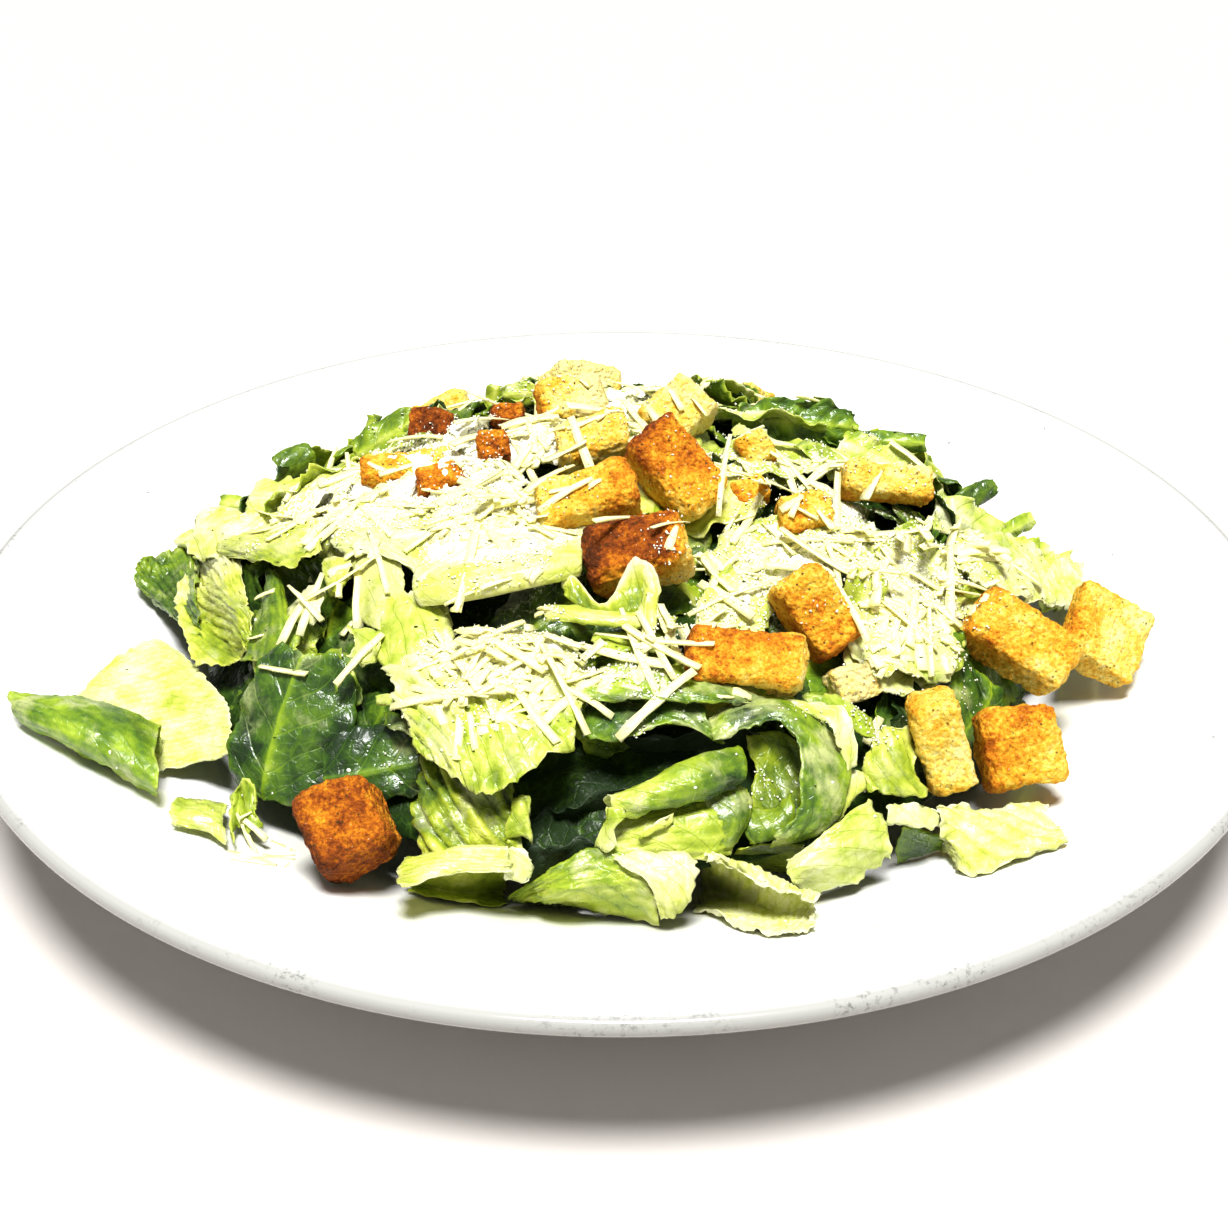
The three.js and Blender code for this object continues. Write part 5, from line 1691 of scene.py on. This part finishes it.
def crouton_material(name):
    """Toasted crumb: the bake value reddens and darkens, pits stay pale, with fine
    grain, dark herb specks and a few light salt grains."""
    paint = Paint(name, Roughness=0.85, Specular_IOR_Level=0.25)
    place = paint.place()
    bake, pit = paint.value("bake"), paint.value("pit")
    grain = paint.noise(place, 1100.0, 4.0, 0.75)
    blotch = paint.noise(place, 330.0, 2.0)
    level = paint.add(bake, paint.span(grain, 0.3, 0.7, -0.2, 0.2))
    level = paint.add(level, paint.span(blotch, 0.3, 0.7, -0.1, 0.1))
    level = paint.less(level, paint.times(pit, 0.1))
    colour = paint.ramp(level, TOAST_COLOURS)
    near = paint.cells(place, 620.0)
    pick = paint.span(paint.noise(place, 250.0, 1.0), 0.44, 0.56, 0.0, 1.0)
    speck = paint.times(paint.span(near, 0.10, 0.20, 1.0, 0.0), pick)
    colour = paint.mix(paint.times(speck, 0.85), colour, SPECK_COLOUR)
    salt = paint.span(paint.cells(place, 880.0), 0.07, 0.14, 1.0, 0.0)
    salt = paint.times(salt, paint.span(paint.noise(place, 410.0, 1.0), 0.5, 0.6, 0.0, 0.8))
    colour = paint.mix(salt, colour, SALT_COLOUR)
    dust = paint.dusting(place)
    paint.set("Base Color", paint.mix(dust, colour, DUST_COLOUR))
    holes = paint.span(paint.cells(place, 1000.0), 0.0, 0.6, 0.0, 1.0)
    height = paint.add(paint.times(holes, 0.7), paint.times(grain, 1.4))
    paint.bump(height, 0.0009, 0.8)
    return paint.material


def cheese_material(name, colour, rough):
    """Hard grated cheese: near-white with a warm waxy depth and a fine grain."""
    depth = {"Subsurface_Weight": 0.25, "Subsurface_Radius": (1.0, 1.0, 0.9), "Subsurface_Scale": 0.001}
    paint = Paint(name, Roughness=rough, **depth)
    place = paint.place()
    patch = paint.noise(place, 300.0, 3.0)
    shade = tuple(c * f for c, f in zip(colour, CHEESE_SHADE))
    paint.set("Base Color", paint.mix(paint.span(patch, 0.35, 0.7), colour, shade))
    paint.bump(paint.noise(place, 1500.0, 3.0), 0.0002, 0.5)
    return paint.material


def plain_material(name, colour, roughness, scale, depth):
    """One colour broken by a noise towards three quarters of it, with a fine bump."""
    paint = Paint(name, Roughness=roughness)
    place = paint.place()
    darker = tuple(0.75 * c for c in colour)
    share = paint.noise(place, scale, 3.0)
    paint.set("Base Color", paint.mix(share, colour, darker))
    paint.bump(share, depth, 0.5)
    return paint.material


def glaze_material():
    """White clear-coated stoneware: faint cream near the well's edge in front; over the outer
    edge a grey band of painted shade, with darker scuffs where the glaze is rubbed."""
    paint = Paint("white_glaze", Roughness=0.12, Coat_Weight=0.6, Coat_Roughness=0.04)
    place = paint.place()
    parts = paint.node("ShaderNodeSeparateXYZ", {0: place}).outputs
    squares = [paint.math("POWER", part, 2.0) for part in (parts[0], parts[1])]
    radius = paint.math("POWER", paint.add(*squares), 0.5)
    edge = paint.span(radius, 0.1365, 0.1388)
    scuff = paint.span(paint.noise(place, 900.0, 6.0, 0.7), 0.52, 0.66)
    streak = paint.span(paint.noise(place, 70.0, 2.0), 0.45, 0.6)
    mark = paint.times(paint.times(edge, scuff), streak)
    ring = paint.times(paint.span(radius, 0.110, 0.092), paint.span(radius, 0.084, 0.092))
    wet = paint.times(ring, paint.span(paint.noise(place, 45.0, 3.0), 0.45, 0.62, 0.0, 0.6))
    colour = paint.mix(wet, GLAZE_COLOUR, GLAZE_WET)
    # Painted shade: a grey band over the plate's outer edge.
    colour = paint.mix(paint.times(edge, 0.9), colour, GLAZE_EDGE_SHADE)
    colour = paint.mix(paint.times(mark, 0.8), colour, GLAZE_SCUFF)
    paint.set("Base Color", colour)
    paint.set("Roughness", paint.span(paint.noise(place, 25.0, 3.0), 0.3, 0.7, 0.08, 0.18))
    return paint.material


# ---- putting it together -------------------------------------------------------------------

ROMAINE = romaine_material("romaine", 0.15, 0.5)
INNER_ROMAINE = romaine_material("romaine_inside", 0.0, 0.12)
PARMESAN = cheese_material("parmesan_cut", CHEESE_COLOUR, 0.5)
POWDER = cheese_material("parmesan_powder", POWDER_COLOUR, 0.7)
HERB = plain_material("dried_herb", HERB_COLOUR, 0.8, 2000.0, 0.0001)
DRESSING = plain_material("creamy_dressing", DRESSING_COLOUR, 0.18, 400.0, 0.0001)
GLAZE = glaze_material()


def add_romaine(name, parts):
    """Builds leaf parts as one piece, and gives its points."""
    points, faces, values, uv = join_parts(parts)
    material = INNER_ROMAINE if name.startswith(("romaine_inner", "romaine_core")) else ROMAINE
    build(name, points, faces, material, ("lettuce_heap",), values, uv)
    return points


def add_leaves():
    """The romaine in one piece for each part of the heap, and the dark core. Gives the
    points of all of it but the bare rib, and the rib's."""
    groups = {
        "romaine_left": LEFT_LEAVES,
        "romaine_front": FRONT_LEAVES,
        "romaine_right": RIGHT_LEAVES,
        "romaine_back": BACK_LEAVES,
        "romaine_crown": CROWN_LEAVES,
        "romaine_far": far_leaves(),
    }
    for filler in FILLERS:
        groups["romaine_" + filler[0]] = filler_leaves(*filler)
    all_points = []
    for name, rows in groups.items():
        step = HIDDEN_STEP if name.startswith(("romaine_inner", "romaine_far")) else LEAF_STEP
        all_points.append(add_romaine(name, [leaf_part(row, step) for row in rows]))
    for name, rows in (("romaine_draped_left", DRAPED_LEFT), ("romaine_draped_front", DRAPED_FRONT)):
        all_points.append(add_romaine(name, [draped_part(row) for row in rows]))
    rib_points = add_romaine("romaine_rib", [draped_part(row, RIB_THICKNESS) for row in DRAPED_RIB])
    all_points.append(add_romaine("romaine_core", [core_part()]))
    return np.concatenate(all_points), rib_points


def add_croutons():
    """Each packed crouton dressed in crumb, one material for each of their slots. Gives
    the points of all of them."""
    materials = {}
    all_points = []
    for entry in frame["record"]["subparts"]:
        node, slot = entry["node"], entry["material_slot"]
        if not node.startswith("crouton_"):
            continue
        if slot not in materials:
            materials[slot] = crouton_material(slot.replace("crouton", "toasted_bread"))
        points, faces, values = crouton_part(node)
        build(node.replace("crouton", "bread"), points, faces, materials[slot], (node,), values)
        all_points.append(points)
    return np.concatenate(all_points)


def add_cheese(height_map):
    """Drifts, long shreds, short bits and grains, each resting on what came before."""
    points, faces = drift_part(height_map)
    build("parmesan_drifts", points, faces, POWDER)
    height_map.lay(points)
    places = patch_places(SHRED_PATCHES)
    places = places[from_bare_ground(*places.T) > 1]
    count = len(places)
    long_shreds = SHORTEST_LONG + LONG_SPREAD * DRAW.uniform(0, 1, count) ** LONG_POWER
    bits = DRAW.uniform(*BIT_LENGTHS, count)
    lengths = np.where(np.arange(count) < count // 2, long_shreds, bits)
    points, faces = shred_part(strew_shreds(height_map, places, lengths))
    build("parmesan_shreds", points, faces, PARMESAN)
    spots = powder_spots(POWDER_PATCHES, POWDER_HEAP)
    on_bread = height_map.bread[height_map.cell(*spots.T)]
    stays = DRAW.uniform(0, 1, len(spots)) < GRAINS_ON_BREAD
    spots = spots[(from_bare_ground(*spots.T) > 1) & (~on_bread | stays)]
    sizes = DRAW.uniform(*GRAIN_SIZES, (len(spots), 3)) ** 1.2
    middles = []
    for share in np.array_split(np.arange(len(spots)), GRAIN_LAYERS):
        heights = height_map.at(*spots[share].T) + 0.3 * sizes[share, 2]
        middles.append(np.column_stack([spots[share], heights]))
        height_map.lay(middles[-1])
    points, faces = grain_part(np.concatenate(middles), sizes)
    build("parmesan_powder", points, faces, POWDER)


def add_herbs(height_map):
    """Dark flecks over the food, with a few fallen on the rim."""
    turn = DRAW.uniform(0, 2 * np.pi, HERB_COUNT)
    spots = round_spots(HERB_REACH * np.sqrt(DRAW.uniform(0, 1, HERB_COUNT)), turn)
    turn = DRAW.uniform(0, 2 * np.pi, RIM_HERB_COUNT)
    spots = np.concatenate([spots, round_spots(DRAW.uniform(*RIM_HERB_REACH, RIM_HERB_COUNT), turn)])
    sizes = DRAW.uniform(0.2, 0.5, (len(spots), 3)) * HERB_SHAPE
    heights = height_map.at(*spots.T) + 0.4 * sizes[:, 2]
    points, faces = grain_part(np.column_stack([spots, heights]), sizes)
    build("herb_flecks", points, faces, HERB)


def add_dressing(leaf_points):
    """Drops of dressing on the upper leaf faces, drawn from the leaves' own points, and
    standing out from a point below the plate's middle."""
    x, y, z = leaf_points.T
    high = np.flatnonzero(z > ground(x, y) - 1)
    middles = leaf_points[DRAW.choice(high, DROP_COUNT, replace=False)]
    normals = unit(middles + np.array([0, 0, 20.0]))
    points, faces = drop_part(middles, normals, DRAW.uniform(*DROP_SIZES, DROP_COUNT))
    build("dressing_drops", points, faces, DRESSING)


def add_to_scene(name, data):
    """A new object in the scene for a lamp or a camera."""
    added = bpy.data.objects.new(name, data)
    bpy.context.scene.collection.objects.link(added)
    return added


def add_stage():
    """A white floor, one round overhead light a little towards the diner, a pale sky
    that brightens low down, and the camera in front of and above the plate."""
    bpy.ops.mesh.primitive_circle_add(vertices=128, radius=9.0, fill_type="NGON")
    floor = bpy.context.active_object
    floor.name = "stage_floor"
    paint = Paint("stage_white", Roughness=0.9)
    paint.shader.inputs["Base Color"].default_value = (*FLOOR_COLOUR, 1)
    floor.data.materials.append(paint.material)

    lamp = bpy.data.lights.new("overhead", "SUN")
    lamp.energy = LAMP_STRENGTH
    lamp.angle = math.radians(LAMP_ANGLE)
    add_to_scene("overhead", lamp).rotation_euler = (math.radians(LAMP_LEAN), 0, 0)

    world = bpy.data.worlds.new("pale_sky")
    bpy.context.scene.world = world
    world.use_nodes = True
    tree = world.node_tree
    coordinates = tree.nodes.new("ShaderNodeTexCoord")
    parts = tree.nodes.new("ShaderNodeSeparateXYZ")
    tree.links.new(coordinates.outputs["Generated"], parts.inputs[0])
    rise = tree.nodes.new("ShaderNodeMapRange")
    tree.links.new(parts.outputs[2], rise.inputs["Value"])
    limits = {"From Min": 0.04, "From Max": 0.10, "To Min": HORIZON_STRENGTH, "To Max": SKY_STRENGTH}
    for socket, limit in limits.items():
        rise.inputs[socket].default_value = limit
    tree.links.new(rise.outputs["Result"], tree.nodes["Background"].inputs["Strength"])
    tree.nodes["Background"].inputs["Color"].default_value = (1, 1, 1, 1)

    camera = bpy.data.cameras.new("diner_view")
    camera.sensor_width = SENSOR
    camera.lens = CAMERA_LENS
    camera.clip_start = 0.01
    camera_object = add_to_scene("diner_view", camera)
    camera_object.location = CAMERA_PLACE
    camera_object.rotation_euler = (math.radians(90 - CAMERA_PITCH), 0, math.radians(CAMERA_YAW))
    bpy.context.scene.camera = camera_object
    bpy.context.scene.view_settings.view_transform = "Standard"
    bpy.context.scene.view_settings.gamma = VIEW_GAMMA


plate_points, plate_faces = plate_part()
build("white_plate", plate_points, plate_faces, GLAZE, ("plate",))
leaf_points, rib_points = add_leaves()
bread_points = add_croutons()
surface = HeightMap(PLATE_RADIUS, MAP_STEP)
surface.lay(leaf_points)
surface.lay_bread(bread_points)
surface.lay(rib_points)
surface.lay_bread(rib_points[rib_points[:, 1] < np.median(rib_points[:, 1])])
surface.close_gaps()
add_cheese(surface)
add_herbs(surface)
add_dressing(leaf_points)
add_stage()
